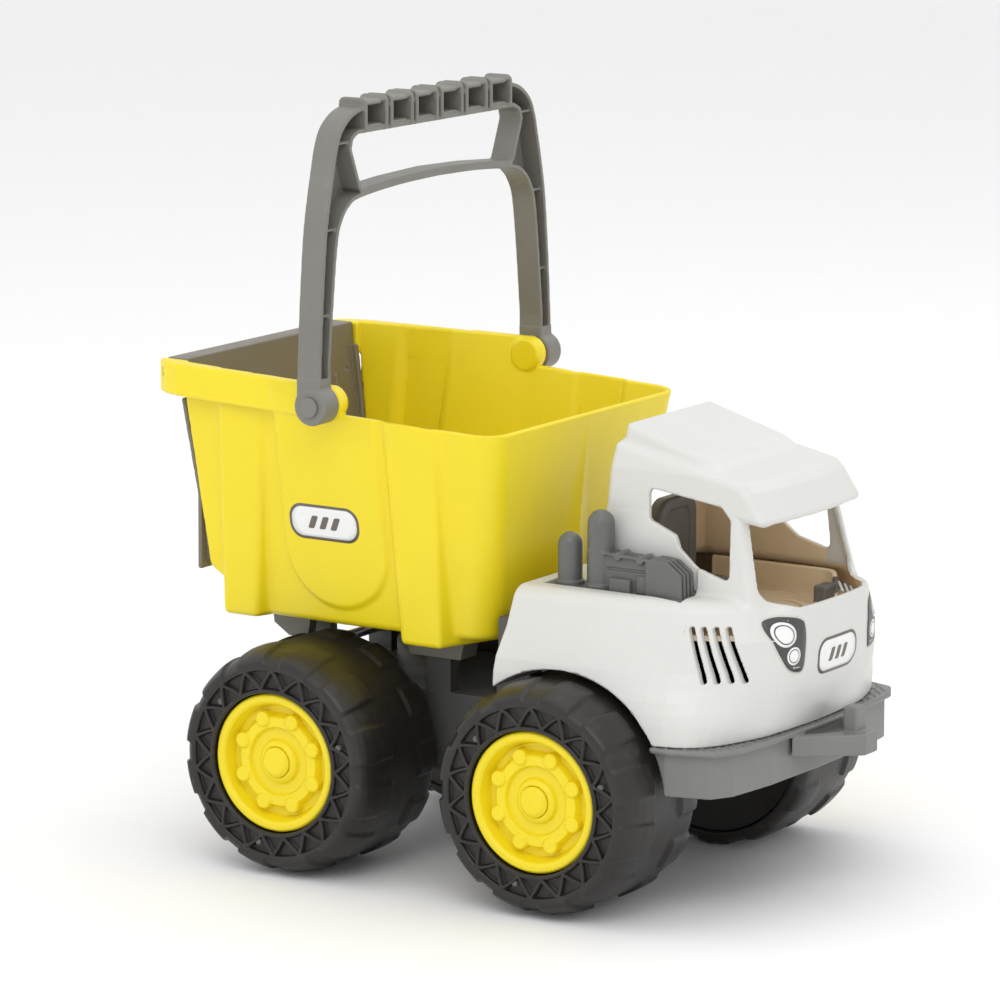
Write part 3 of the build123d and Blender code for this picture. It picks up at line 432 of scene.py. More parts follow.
def bucket_field(p):
    x, y, z = p.T
    outside = tub_outside(p)
    shell = common(outside, -ribbed_tub(p) - WALL, 0.5)
    thin_top = z - on_line(x, THIN_RIM)
    pivot = length(x - HANDLE_X, z - HANDLE_Z) - 9.6
    band_top = z - on_line(x, BAND_TOP)
    keep = join(join(thin_top, common(x - HANDLE_X, band_top)), pivot)
    rear = between((z - 134.0) / 122.0, -157, -170.5) - x
    shell = common(common(shell, keep, 0.9), rear, 0.8)
    plan = rounded(x, np.abs(y), BAND_PLAN, 1.5)
    height = join(common(x - HANDLE_X, slab(band_top, -BAND_HEIGHT, 0)), pivot)
    band = common(plan, height, 1.6)
    hollow = common(common(plan + 2.4, band_top + 2.4), x + 78)
    rim = common(join(band, common(pivot, slab(np.abs(y), 99.5, 105.3), 1.4)), -hollow, 0.4)
    body = join(shell, rim, 1.2)
    q = both_sides(p)
    strips = join(brick(q, (-60, 54.6, 130.5), (0, 57.0, 136)), brick(q, (6.6, -60, 130.5), (9.0, 50, 136)))
    body = join(body, strips)
    body = join(body, bar(q, 1, (HANDLE_X, HANDLE_Z), 9.2, 95.6, 101.0, 1.0), 1.5)
    body = cut(body, bar(q, 1, (TAILGATE_X, TAILGATE_Z), 3.2, 80, 89.6), 0.3)
    return cut(body, bar(q, 1, (HANDLE_X, HANDLE_Z), 4.05, 97.6, 110), 0.3)


# ---------------------------------------------------------------- tailgate
HOOD = [(-188, 268.5), (-186.5, 274), (-173.5, 274), (-172.6, 262), (-175.4, 262), (-176.6, 271),
        (-185.4, 271)]                              # angled top rail, (x, z)
PANEL = [(-175.8, 264), (-167, 200), (-167.4, 156), (-164.6, 156), (-164.3, 200), (-173.0, 264)]
PANEL_FRONT = ((156.0, 200.0, 264.0), (-164.6, -164.3, -173.0))      # z and x of the panel's front face
RAIL_HALF = 82.0


def tailgate_field(p):
    x, _, z = p.T
    q = both_sides(p)
    half = RAIL_HALF
    plate = polygon(x, z, PANEL) + 0.4
    body = common(join(polygon(x, z, HOOD) + 0.4, plate, 1.0) - 0.4, q[:, 1] - half, 0.6)
    wing = half + np.clip((253.0 - z) * 2.0, 0, 1) * (np.interp(z, (156, 252), (78.5, 86.6)) - half)
    body = np.minimum(body, common(common(plate - 0.4, q[:, 1] - wing, 0.6), z - 252.5, 0.5))
    front = np.interp(z, *PANEL_FRONT)
    flange_y = np.interp(z, (156.0, 231.0), (76.2, 82.0))
    flange = common(slab(x, front - 0.6, front + 3.2), slab(q[:, 1], flange_y - 3.4, flange_y), 0.6)
    body = join(body, common(flange, slab(z, 160.0, 261.0), 0.6), 0.6)
    for y0 in (30.0, 60.0):
        body = join(body, common(brick(q, (-177, y0 - 1.2, 162), (-160, y0 + 1.2, 246), 0.5),
                                 plate - 1.6, 0.4), 0.8)
    for y0 in (27.0, 54.0):
        body = join(body, brick(q, (-184, y0 - 1, 262), (-175, y0 + 1, 272), 0.4))
    body = join(body, brick(q, (-184.5, half - 2, 263.5), (-175, half, 272), 0.5), 0.6)
    body = join(body, bar(q, 1, (TAILGATE_X, TAILGATE_Z), 3.0, half - 1, 88.4, 0.4))
    return cut(body, bar(q, 0, (72, 247), 1.6, -185, -160), 0.3)


# ---------------------------------------------------------------- handle
BOW = [(-20, 421.5), (72, 421.5), (85, 418), (95.5, 410), (100.5, 400), (103.2, 390), (107, 375), (111, 355),
       (113.7, 330), (115.4, 310), (117, 285), (118, 262), (118, 240), (-20, 240)]
LEG_GAP = [(-20, 375.6), (0, 375.6), (40, 374.6), (76, 371.6), (87, 368), (94.5, 360), (98.5, 349),
           (102.5, 320), (106.2, 284), (106.2, 230), (-20, 230)]
HAND_GAP = [(-20, 380.2), (0, 380.2), (40, 379), (75.5, 376.6), (84.8, 399), (83.2, 404), (78, 406.5),
            (-20, 406.5)]
BOW_CURVE = [BOW[0]] + smooth_outline(BOW[1:12], 4) + BOW[12:]
LEG_CURVE = [LEG_GAP[0]] + smooth_outline(LEG_GAP[1:9], 4) + LEG_GAP[9:]
HANDLE_BACK, HANDLE_FRONT = -74.0, -59.2
FLANGE = 2.4
GRIP_PITCH = 25.0                                  # six finger lobes
GRIP_X, GRIP_Z = -66.8, 416.0                      # middle of the grip's section
GRIP_HALF = (9.1, 9.5)
GRIP_CORNER = 3.6


def handle_field(p):
    x, y, z = p.T
    q = both_sides(p)
    across = q[:, 1]
    shape = cut(cut(polygon(across, z, BOW_CURVE), polygon(across, z, LEG_CURVE), 0.8),
                rounded(across, z, HAND_GAP, 2.5), 0.8)
    body = common(shape, slab(x, HANDLE_BACK, HANDLE_FRONT), 0.7)
    arch = common(slab(z, 366, 384), across - 76)
    pocket = common(common(shape + FLANGE, HANDLE_BACK + FLANGE - x, 0.8), 274.5 - z, 2.0)
    pocket = common(pocket, -arch)
    body = cut(body, pocket, 0.5)
    for level in (310.5, 356.5, 402.5):
        body = join(body, common(shape + 0.8, common(slab(z, level - 0.8, level + 0.8),
                                                     slab(x, HANDLE_BACK + 1, HANDLE_FRONT - 2))), 0.4)
    body = common(body, HANDLE_Z - z, 0.8)
    cell = np.clip(np.round(y / GRIP_PITCH - 0.5), -3, 2)
    local = y - GRIP_PITCH * (cell + 0.5)
    deep, tall = np.abs(x - GRIP_X) - GRIP_HALF[0], np.abs(z - GRIP_Z) - GRIP_HALF[1]
    tube = length(np.maximum(deep + GRIP_CORNER, 0), np.maximum(tall + GRIP_CORNER, 0)) - GRIP_CORNER
    tube = np.maximum(tube, np.maximum(deep, tall))
    waist = 1.9 * ramp(9.6 - np.abs(local), 0.0, 4.0)
    finger = common(tube + waist, np.abs(local) - 11.3, 0.8)
    scoop = common(common(tube + 2.4 + waist, np.abs(local) - 8.9, 1.2), -72.0 - x, 0.8)
    mouth = common(common(np.abs(z - GRIP_Z) - 7.1 + waist, np.abs(local) - 8.9, 1.2), -70.0 - x, 0.8)
    hollow = join(scoop, mouth)
    body = join(cut(body, common(hollow, np.abs(y) - 74)), cut(finger, hollow, 0.5), 0.6)
    knuckle = bar(q, 1, (HANDLE_X, HANDLE_Z), 10.4, 106.2, 120.0, 1.2)
    foot = brick(q, (HANDLE_BACK, 106.2, 262), (HANDLE_FRONT, 118, 277), 0.8)
    body = join(join(body, foot, 0.5), knuckle, 1.2)
    body = cut(body, common(across - 106.2, z - 273.5))
    return cut(body, bar(q, 1, (HANDLE_X, HANDLE_Z), 4.15, 100, 125), 0.3)


# ---------------------------------------------------------------- cab
CAB_LEVELS = (97.0, 108.0, 114.0, 120.0, 126.0, 134.0, 150.0, 171.0)
FENDER_Y = (104.0, 104.0, 104.0, 103.8, 103.2, 101.4, 95.0, 86.0)
CHEEK_Y = (102.0, 101.0, 99.5, 97.0, 93.5, 89.5, 83.0, 74.0)         # half-width at x = 147
BEND = ((168.0, 90.0), (170.0, 87.0), (171.0, 84.0), (172.0, 79.5), (173.5, 75.0), (174.5, 71.0),
        (175.0, 67.5), (168.0, 62.0))                                # where the nose meets the fenders
NOSE_CORNER = ((180.0, 60.0), (183.0, 58.5), (185.0, 57.5), (186.7, 57.0), (188.0, 56.5), (188.8, 56.0),
               (188.3, 55.0), (180.0, 48.0))
NOSE_X = (185.0, 189.5, 191.5, 193.5, 195.0, 196.6, 197.3, 196.0)
REAR_X = (43.0, 43.0, 42.5, 42.0, 42.0, 42.5, 45.5, 46.0)


def lower_body(p):
    """Fenders and nose: a plan outline that changes with height."""
    x, y, z = p.T
    level = np.clip(z, CAB_LEVELS[0], CAB_LEVELS[-1])
    fender, cheek, bend_x, bend_y, corner_x, corner_y, nose, back = (
        np.interp(level, CAB_LEVELS, row)
        for row in (FENDER_Y, CHEEK_Y, *zip(*BEND), *zip(*NOSE_CORNER), NOSE_X, REAR_X))
    outline = smooth_outline([(30.0 + 0 * z, fender), (96.0 + 0 * z, fender), (147.0 + 0 * z, cheek),
                              (bend_x, bend_y), (corner_x, corner_y), (nose - 1.6, 36 + 0 * z),
                              (nose, -2 + 0 * z), (nose - 1.6, -36 + 0 * z)])
    outline += [(30.0 + 0 * z, -36 + 0 * z)]
    plan = polygon(x, np.abs(y), outline) * 0.95
    return common(common(plan, z - 171.0, 6.5), back - x, 2.5)


ROOF_SIDE = [(75, 150), (85.5, 246), (88, 247.5), (171, 231.5), (176.5, 227), (187.5, 212), (184, 209.5),
             (171.5, 211), (184, 168), (187, 150)]
ROOF_BOX = [(86.5, 236), (89.5, 256.2), (92, 257), (139, 242.2), (146.5, 236.5), (146, 228)]
ROOF_FRONT = [(-20, 150), (59, 150), (57.5, 172), (53.2, 212), (53.2, 234), (50.5, 243), (46, 262),
              (-20, 262)]


def greenhouse(p):
    """Upper cab with its sloping roof, raised roof box and visor."""
    x, y, z = p.T
    across = np.abs(y)
    bowed = x + 0.0022 * across ** 2 * ramp(x, 140, 180)
    upper = common(rounded(bowed, z, ROOF_SIDE, 2.5), rounded(across, z, ROOF_FRONT, 5.0), 4.5)
    box = common(rounded(x, z, ROOF_BOX, 2.0), across - 46.0 + 0.12 * (z - 240), 4.0)
    return join(upper, box, 2.5)


def cab_outside(p):
    return join(lower_body(p), greenhouse(p), 3.0)


SIDE_WINDOW = [(110, 225), (154.5, 218.6), (160, 212), (161.5, 179), (141, 185), (130, 194), (127, 201),
               (110, 208)]                                           # (x, z)
WINDSCREEN = [(-20, 165.5), (36, 166.0), (46.5, 169.5), (50.5, 175.5), (46.0, 210.8),
              (-20, 211.5)]                                          # (|y|, z)
REAR_WINDOW = [(-20, 200), (36, 200), (36, 232), (-20, 232)]
ENGINE_BAY = [(55, 54.8), (142, 54.8), (142, 73.2), (55, 73.2)]      # (x, -y)
ARCH_RADIUS = 67.0
VENT_PITCH = 5.6
CAB_SCREWS = ((45.4, 40), (45.4, -40))


def vent(x, z, start):
    """Slanting slot with round ends."""
    (ax, az), (bx, bz) = (start + 1.6, 156.8), (start + 11.8, 130.4)
    ex, ez = bx - ax, bz - az
    t = np.clip(((x - ax) * ex + (z - az) * ez) / (ex * ex + ez * ez), 0, 1)
    return length(x - ax - t * ex, z - az - t * ez) - 1.4


def cab_field(p):
    x, y, z = p.T
    across = np.abs(y)
    outside = cab_outside(p)
    shell = common(outside, -outside - WALL, 0.5)
    shell = cut(shell, rounded(x, z, SIDE_WINDOW, 3.0), 0.7)
    shell = cut(shell, common(rounded(across, z, WINDSCREEN, 3.0), 164 - x), 0.7)
    shell = cut(shell, common(rounded(across, z, REAR_WINDOW, 4.0), x - 95), 0.7)
    arch = common(length(x - AXLE_X, z - AXLE_Z) - ARCH_RADIUS, 54.0 - across, 1.0)
    shell = cut(shell, arch, 0.6)
    bay = rounded(x, -y, ENGINE_BAY, 2.0)
    shell = cut(shell, common(bay, 160 - z), 0.6)
    shell = common(shell, 97.0 - z, 0.6)
    boss = join(*(bar(p, 2, at, 5.0, 97, 127) for at in CAB_SCREWS))
    hole = join(*(bar(p, 2, at, 1.7, 90, 120, 0.1) for at in CAB_SCREWS))
    return join(shell, cut(common(boss, outside + 1), hole), 0.5)


def vent_patch(p, margin):
    """Region of the nose side that is moulded with the vents."""
    x, y, z = p.T
    face = common(slab(x, 146 - margin, 187 + margin), slab(z, 126 - margin, 161 + margin))
    return common(face, 52 - margin - np.abs(y))


def vented_field(p):
    """The patch with its four slots, laid over the opening left in the cab."""
    x, _, z = p.T
    slots = np.minimum.reduce([vent(x, z, 150.0 + VENT_PITCH * i) for i in range(4)])
    edge = vent_patch(p, 0.0)
    sunk = cab_field(p) + 0.35 * ramp(edge, -2.0, -0.3)
    return cut(common(sunk, edge), slots, 0.5)


def opened_field(p):
    """Cab with an opening under the patch, which overlaps its edges."""
    return cut(cab_field(p), vent_patch(p, -3.0))


def cab_pick(centres):
    """White outside; painted warm shade (the tan material) on the inner faces of the upper cab."""
    inside = cab_outside(centres) < -0.75 * WALL
    pillar = (centres[:, 0] > 159.0) & (centres[:, 2] > 172.0)
    return (inside & (centres[:, 2] > 120) & ~pillar).astype(int)


# ---------------------------------------------------------------- bumper
BUMPER_PLAN = [(158, -20), (189, -20), (189, 0), (188, 50), (185, 82), (177, 97), (152, 105), (136, 105),
               (136, 62), (158, 62)]                                 # (x, |y|) of the flange
SKIRT_PLAN = [(158, -20), (189, -20), (189, 0), (188, 50), (184, 84), (176, 98), (150, 105), (100, 105),
              (100, -20)]
STUD_PITCH = 4.6
TONGUE_TIP_X = node_box("front_bumper")[1][0] - MID_X


def bumper_field(p):
    x, y, z = p.T
    across = np.abs(y)
    plan = rounded(x, across, BUMPER_PLAN, 3.0)
    flange = common(plan, slab(z, 93.6, 96.6), 1.3)
    inner = polygon(x, across, SKIRT_PLAN)
    skirt = common(common(inner + 3.5, -(inner + 3.5 + WALL), 0.4), slab(z, 70.5, 95), 0.8)
    skirt = common(skirt, 136.5 - x, 0.5)
    u, v = (x + y) / math.sqrt(2), (x - y) / math.sqrt(2)
    column, row = np.floor(u / STUD_PITCH), np.floor(v / STUD_PITCH)
    cell_u, cell_v = u - STUD_PITCH * (column + 0.5), v - STUD_PITCH * (row + 0.5)
    wide = np.where((column + row) % 2 == 0,
                    length(cell_u / 1.9, cell_v / 0.75), length(cell_u / 0.75, cell_v / 1.9)) - 1.0
    stud = common(common(wide * 0.75, plan + 3.0), slab(z, 95, 97.3), 0.3)
    tip = TONGUE_TIP_X
    outline = [(180, -20), (tip, -20), (tip, 6.5), (tip - 1.2, 8), (184, 34), (180, 34)]
    tongue = rounded(x, across, outline, 1.5)
    outline = [(188, -20), (tip - 16, -20), (tip - 16, 6.5), (190.5, 21), (188, 21)]
    tongue_inner = rounded(x, across, outline, 1.5)
    hook = common(cut(tongue, tongue_inner, 0.8), slab(z, 82.5, 94.0), 1.0)
    web = common(tongue_inner - 0.5, slab(z, 86.5, 89.5), 0.4)
    hook = join(hook, web)
    post = brick(p, (tip - 15, -5.5, 82.5), (tip - 6, 5.5, 108), 1.6)
    body = join(join(flange, skirt, 0.8), stud)
    body = join(join(body, common(hook, 186.5 - x), 0.8), post, 0.8)
    q = both_sides(p)
    boss = brick(q, (158.2, 25, 77), (174, 35, 95), 1.0)
    hole = bar(q, 0, (30, 82), 1.7, 150, 172, 0.2)
    body = join(body, cut(boss, hole))
    return cut(body, common(length(x - AXLE_X, z - AXLE_Z) - 66.0, 56 - across), 0.5)


# ---------------------------------------------------------------- seat
def seat_field(p):
    """Seat back, cushion, dished cab floor and the two tabs beside the windscreen."""
    x, y, z = p.T
    q = both_sides(p)
    inside = cab_outside(p) + WALL + 0.8
    floor = common(common(inside, slab(z, 150, 153)), 90 - x, 0.6)
    for radius in (30.0, 38.0, 46.0):
        ring = common(np.abs(length(x - 142, y) - radius) - 1.0, slab(z, 151, 154.4), 0.6)
        floor = join(floor, common(common(ring, inside), 92 - x), 0.6)
    back = common(rounded(y, z, [(-20, 150), (20, 150), (20, 211), (-20, 211)], 11.0), slab(x, 89, 97), 2.0)
    channel = common(rounded(y, z, [(-13, 168), (13, 168), (13, 204), (-13, 204)], 7.0), 96.0 - x, 0.5)
    back = cut(back, channel, 0.8)
    cushion = common(brick(p, (89, -20, 152), (118, 20, 166), 3.0), 152 - z, 0.5)
    tabs = brick(q, (164, 30, 152), (172, 43, 163.5), 1.2)
    plan = rounded(x, q[:, 1], [(80, -20), (174, -20), (177, 0), (172, 49), (80, 49)], 14.0)
    top = 169.5 - 15.5 * ramp(x, 150, 170) * (1 - ramp(q[:, 1], 36, 47))
    liner = common(common(np.abs(plan) - 1.3, np.maximum(150 - z, (z - top) * 0.7), 0.6),
                   common(inside, 90 - x), 0.5)
    floor = join(floor, liner, 3.0)
    return join(join(floor, join(back, cushion, 1.5), 0.5), tabs, 0.5)


def seat_pick(centres):
    """Dark seat and tabs; floor and liner in the painted warm shade (the tan material)."""
    x, y, z = centres.T
    seat = (x < 120.0) & (np.abs(y) < 21.0)
    tabs = (x > 163.0) & (x < 173.0) & (np.abs(np.abs(y) - 36.5) < 7.5)
    return ((seat | tabs) & (z > 154.6)).astype(int)


# ---------------------------------------------------------------- engine
ENGINE_Y = -63.75
BLOCK_SIDE = [(80, 160), (80, 187.5), (83, 190.0), (128, 187.5), (137.0, 182), (138.2, 160)]
FIN_SIDE = [(118, 160), (118, 188), (121, 190.3), (131.5, 189.4), (140.0, 183), (140.8, 160)]
FIN_PITCH = 3.9
RAIL_LINE = ((83.0, 190.4), (128.0, 187.9))
CLIP_PITCH = 14.0
STACKS = ((67.0, 198.5, 6.7), (86.5, 212.5, 7.4))                     # station, top and radius


def engine_field(p):
    x, y, z = p.T
    across = y - ENGINE_Y
    base = brick(p, (56, -72, 166), (141, -55.5, 169.5), 0.8)
    body = rounded(x, z, BLOCK_SIDE, 2.5)
    body = common(common(body, np.abs(across) - 6.9 + 0.05 * (z - 168), 1.2), -67.8 - y, 0.8)
    row = np.clip(np.round(across / FIN_PITCH - 0.5), -2, 1)
    fins = common(rounded(x, z, FIN_SIDE, 3.0), np.abs(across - FIN_PITCH * (row + 0.5)) - 1.15, 0.7)
    rail_z = on_line(x, RAIL_LINE)
    rails = common(length(np.abs(np.abs(across) - 4.6) - 0.9, z - rail_z) - 0.75, slab(x, 82, 119))
    clip = np.clip(np.round((x - 86.0) / CLIP_PITCH), 0, 2)
    knots = common(length(x - 86.0 - CLIP_PITCH * clip, z - rail_z + 0.4) - 2.3, np.abs(across) - 6.6, 0.8)
    body = join(body, rails, 0.4)
    seam = common(slab(z, 181.2, 182.6), common(-body - 0.9, slab(x, 60, 117)), 0.2)
    body = cut(body, seam, 0.2)
    step = brick(p, (96, -71.6, 168), (109, -66, 177.5), 0.9)
    plate = brick(p, (111.5, -69.2, 170), (121.5, -66, 180), 0.6)
    body = join(join(body, fins, 0.5), knots, 0.4)
    body = join(join(body, step, 0.4), plate, 0.4)
    body = join(body, base, 0.6)
    for at, top, radius in STACKS:
        stack = length(x - at, across, np.maximum(z - top + radius, 0)) - radius
        collar = bar(p, 2, (at, ENGINE_Y), radius + 1.1, 168, 172.5, 0.7)
        body = join(join(body, common(stack, 167 - z), 1.0), collar, 0.5)
    return common(body, 166 - z, 0.4)


# ---------------------------------------------------------------- wheels
HUB_PROFILE = [(10.5, 69), (10.5, 114), (26.5, 114), (31, 119.5), (36.8, 112), (38.4, 112),
               (38.4, 127.6), (37.2, 129), (34.6, 129), (33.2, 127.5), (31, 120.2), (26.6, 120.2),
               (24.6, 124.6), (19.4, 124.8), (18.4, 122.2), (12.4, 122.2), (11.7, 124.6), (9.9, 126),
               (8.55, 126), (8.55, 116.5), (3.1, 116.5), (3.1, 69)]


def hub_field(p):
    """Hub that faces +y, with its axis through the origin."""
    x, y, z = p.T
    radius = length(x, z)
    body = polygon(radius, y, HUB_PROFILE) - 0.1
    angle = np.arctan2(z, x)
    turn = np.round(angle / (math.pi / 4) - 0.5) + 0.5
    bx, bz = 25.0 * np.cos(turn * math.pi / 4), 25.0 * np.sin(turn * math.pi / 4)
    knob = common(length(x - bx, z - bz) - 4.3, slab(y, 118, 126.2), 0.9)
    slot = common(np.abs(np.abs(x) - 4.6) - 0.5, np.abs(z) - 1.6)
    groove = common(slot, slab(radius, 2.0, 8.0))
    return common(cut(join(body, knob, 0.8), common(groove, 125.2 - y)), y - 129.0, 0.5)


TYRE_FACE_Y = 131.0
ZIGZAGS = 18
LUGS = 12
# tyre section from the sidewall's inner lip round the tread to the back and the bore: (radius, y)
SHOULDER = [(53.2, 131), (55.2, 130.2), (57.2, 128.2), (59.2, 124.6), (60.8, 119.5), (61.9, 113),
            (62.3, 106), (62.3, 94), (62.3, 82), (62.3, 68), (61.8, 63.5), (60.2, 60.4), (57.8, 58.4),
            (55.4, 58)]
BACK = [(54.8, 58.6), (54.8, 64.0), (47.0, 66.0), (40.2, 68.0), (39.2, 74.0), (39.2, 128.8)]


def arc_points(points, spacing):
    """Points at even spacing along a polyline."""
    points = np.array(points, float)
    run = np.concatenate([[0], np.cumsum(np.linalg.norm(np.diff(points, axis=0), axis=1))])
    at = np.linspace(0, run[-1], max(int(round(run[-1] / spacing)), 2) + 1)
    return np.stack([np.interp(at, run, points[:, 0]), np.interp(at, run, points[:, 1])], 1)


def zigzag_depth(radius, angle):
    """Depth of the triangular pockets in the sidewall ring."""
    inner, outer, web = 41.3, 52.0, 1.5
    pitch = 2 * math.pi / ZIGZAGS
    half = pitch / 2
    share = (angle / pitch) % 1.0
    zig = np.abs(share * 2 - 1)                       # 1 at a rib's inner end, 0 at its outer end
    line = inner + (outer - inner) * (1 - zig)
    slope = (outer - inner) / (half * radius)
    gap = np.abs(radius - line) / np.sqrt(1 + slope ** 2) - web / 2
    pocket = np.minimum(np.minimum(gap, radius - inner), outer - radius)
    return 3.0 * ramp(pocket, 0.0, 0.5)


def lug_height(y, angle):
    """Height of the tread lugs: a row over the shoulder and a staggered row inboard."""
    pitch = 2 * math.pi / LUGS
    total = np.zeros(np.broadcast(y, angle).shape)
    for low, high, shift in ((104.0, 140.0, 0.0), (59.5, 80.5, 0.5)):
        local = ((angle / pitch + shift) % 1.0 - 0.5) * pitch * 63.0
        taper = 1.6 * np.clip((y - low) / 20.0, 0, 1) if low > 100 else 0.0
        wide = 9.6 + taper - np.abs(local)
        deep = np.minimum(y - low, high - y)
        total = total + 1.65 * ramp(np.minimum(wide, deep), 0.0, 1.2)
    return total


def tyre_mesh(name):
    """Tyre that faces +y: a fine sidewall ring joined to a coarser tread."""
    coarse = int(360 / QUALITY)
    fine = 2 * coarse
    rings, faces = [], []

    def ring(radii, ys, count):
        angle = np.arange(count) * 2 * math.pi / count
        start = sum(len(r) for r in rings)
        rings.append(np.stack([radii * np.cos(angle), ys + 0 * angle, radii * np.sin(angle)], 1))
        return start, count

    def bridge(a, b):
        (sa, na), (sb, nb) = a, b
        if na == nb:
            for i in range(na):
                j = (i + 1) % na
                faces.append((sa + i, sb + i, sb + j, sa + j))
        else:
            for i in range(nb):
                j = (i + 1) % nb
                faces.append((sa + 2 * i, sb + i, sb + j, sa + 2 * j, sa + 2 * i + 1))

    fine_angle = np.arange(fine) * 2 * math.pi / fine
    coarse_angle = np.arange(coarse) * 2 * math.pi / coarse
    sidewall = [(39.2, 128.8), (39.2, 130.2), (39.9, 130.9)]
    sidewall += [(r, TYRE_FACE_Y - 0.15) for r in np.arange(40.5, 53.0, 0.36 * QUALITY)]
    loop = []
    for radius, y in sidewall:
        depth = zigzag_depth(radius, fine_angle) if radius > 40.4 else 0.0
        loop.append(ring(np.full(fine, radius), y - depth, fine))
    outer = arc_points(SHOULDER, 1.25 * QUALITY)
    for k, (radius, y) in enumerate(outer):
        near = outer[max(k - 1, 0)], outer[min(k + 1, len(outer) - 1)]
        dr, dy = near[1] - near[0]
        size = math.hypot(dr, dy)
        lift = lug_height(y, coarse_angle) * (1 if radius > 54.2 else 0)
        outward = np.minimum(y + lift * (dr / size), TYRE_FACE_Y)
        loop.append(ring(radius + lift * (-dy / size), outward, coarse))
    for radius, y in arc_points([SHOULDER[-1]] + BACK, 6.0)[1:-1]:
        loop.append(ring(np.full(coarse, radius), y, coarse))
    bore_end = ring(np.full(fine, 39.2), 128.8 - 3.0, fine)
    for a, b in zip(loop, loop[1:]):
        bridge(a, b)
    (sa, na), (sb, nb) = loop[-1], bore_end
    for i in range(na):
        j = (i + 1) % na
        faces.append((sa + i, sb + 2 * i, sb + 2 * i + 1, sb + (2 * i + 2) % fine, sa + j))
    bridge(bore_end, loop[0])
    points = np.concatenate(rings)
    mesh = bpy.data.meshes.new(name)
    mesh.from_pydata((points / MM).tolist(), [], faces)
    mesh.materials.append(TYRE)
    mesh.shade_smooth()
    return mesh


def wheel_objects():
    """Tyre and hub meshes, shared by the four wheels; the right-hand wheels are turned round."""
    tyre = tyre_mesh("tyre_mesh")
    points, quads, normals = surface(hub_field, (-39, 66, -39), (39, 130, 39), 0.9 * QUALITY)
    hub = bpy.data.meshes.new("hub_mesh")
    hub.from_pydata((points / MM).tolist(), [], quads.tolist())
    hub.materials.append(YELLOW)
    hub.shade_smooth()
    hub.normals_split_custom_set_from_vertices(normals.tolist())
    for end, axle in (("front", FRONT_AXLE), ("rear", REAR_AXLE)):
        for side, turn in (("right", math.pi), ("left", 0.0)):
            for part, mesh, slot in (("tyre", tyre, "tyre_plastic"), ("hub", hub, "yellow_plastic")):
                piece = bpy.data.objects.new(f"{end}_{side}_{part}_detail", mesh)
                bpy.context.scene.collection.objects.link(piece)
                piece.location = Vector(axle) / MM
                piece.rotation_euler = (0, 0, turn)
                place(piece, f"{end}_{side}_wheel", slot, f"{end}_{side}_{part}")


# ---------------------------------------------------------------- labels
def drape(outline, field, lift, axis, start, sign, rings=5):
    """Domed patch on a surface: the outline, given in the plane across axis, is pressed onto the field."""
    outline = np.array(outline, float)
    centre = outline.mean(0)
    levels = [k / rings for k in range(1, rings + 1)]
    flat = np.concatenate([centre[None]] + [centre + t * (outline - centre) for t in levels]
                          + [centre + (outline - centre)])
    other = [i for i in range(3) if i != axis]
    points = np.zeros((len(flat), 3))
    points[:, other] = flat
    points[:, axis] = start
    height = np.full(len(flat), lift)
    height[-len(outline):] = -0.15
    for _ in range(60):
        gap = field(points) - height
        points[:, axis] -= sign * np.clip(gap, -4.0, 4.0)
    count = len(outline)
    faces = [(0, 1 + i, 1 + (i + 1) % count) for i in range(count)]
    for k in range(rings):
        a, b = 1 + k * count, 1 + (k + 1) * count
        faces += [(a + i, b + i, b + (i + 1) % count, a + (i + 1) % count) for i in range(count)]
    return points, faces


def rounded_rectangle(width, height, corner, at=(0.0, 0.0), lean=0.0, steps=8):
    points = []
    for cx, cy, quarter in ((1, 1, 0), (-1, 1, 1), (-1, -1, 2), (1, -1, 3)):
        for k in range(steps + 1):
            angle = (quarter + k / steps) * math.pi / 2
            u = cx * (width / 2 - corner) + corner * math.cos(angle)
            v = cy * (height / 2 - corner) + corner * math.sin(angle)
            points.append((at[0] + u + lean * v, at[1] + v))
    return dense(points, 2.0)


def dense(points, spacing):
    """Closed outline with extra points on its long sides."""
    result = []
    for a, b in zip(points, points[1:] + points[:1]):
        count = max(int(math.dist(a, b) / spacing), 1)
        result += [(a[0] + (b[0] - a[0]) * k / count, a[1] + (b[1] - a[1]) * k / count) for k in range(count)]
    return result


def disc(radius, at, count=40):
    turns = [2 * math.pi * k / count for k in range(count)]
    return [(at[0] + radius * math.cos(turn), at[1] + radius * math.sin(turn)) for turn in turns]


def label(name, body, node, field, layers, axis, start, sign):
    """Label of several printed layers: (outline, lift, material)."""
    points, faces, indices, materials = [], [], [], []
    for outline, lift, material in layers:
        if material not in materials:
            materials.append(material)
        these, patches = drape(outline, field, lift, axis, start, sign)
        base = sum(len(part) for part in points)
        faces += [tuple(base + i for i in patch) for patch in patches]
        indices += [materials.index(material)] * len(patches)
        points.append(these)
    piece = mesh_object(name, np.concatenate(points), faces, materials, None, indices)
    face_outwards(piece)
    return place(piece, body, "printed_label", node)


def face_outwards(piece):
    """Make the faces of each layer look away from the truck."""
    work = bmesh.new()
    work.from_mesh(piece.data)
    bmesh.ops.recalc_face_normals(work, faces=work.faces)
    work.to_mesh(piece.data)
    work.free()


def emblem(width, height, at, mirror=1.0):
    """Generic badge: pale plate, dark border and three slanting bars."""
    layers = [
        (rounded_rectangle(width, height, height * 0.42, at), 0.16, PRINT_TAUPE),
        (rounded_rectangle(width - 3.2, height - 3.2, height * 0.36, at), 0.22, PRINT_WHITE),
    ]
    for k in (-1, 0, 1):
        where = (at[0] + mirror * k * width * 0.16, at[1])
        slanting = rounded_rectangle(width * 0.085, height * 0.36, 0.9, where, 0.45 * mirror)
        layers.append((slanting, 0.40, PRINT_TAUPE))
    return layers


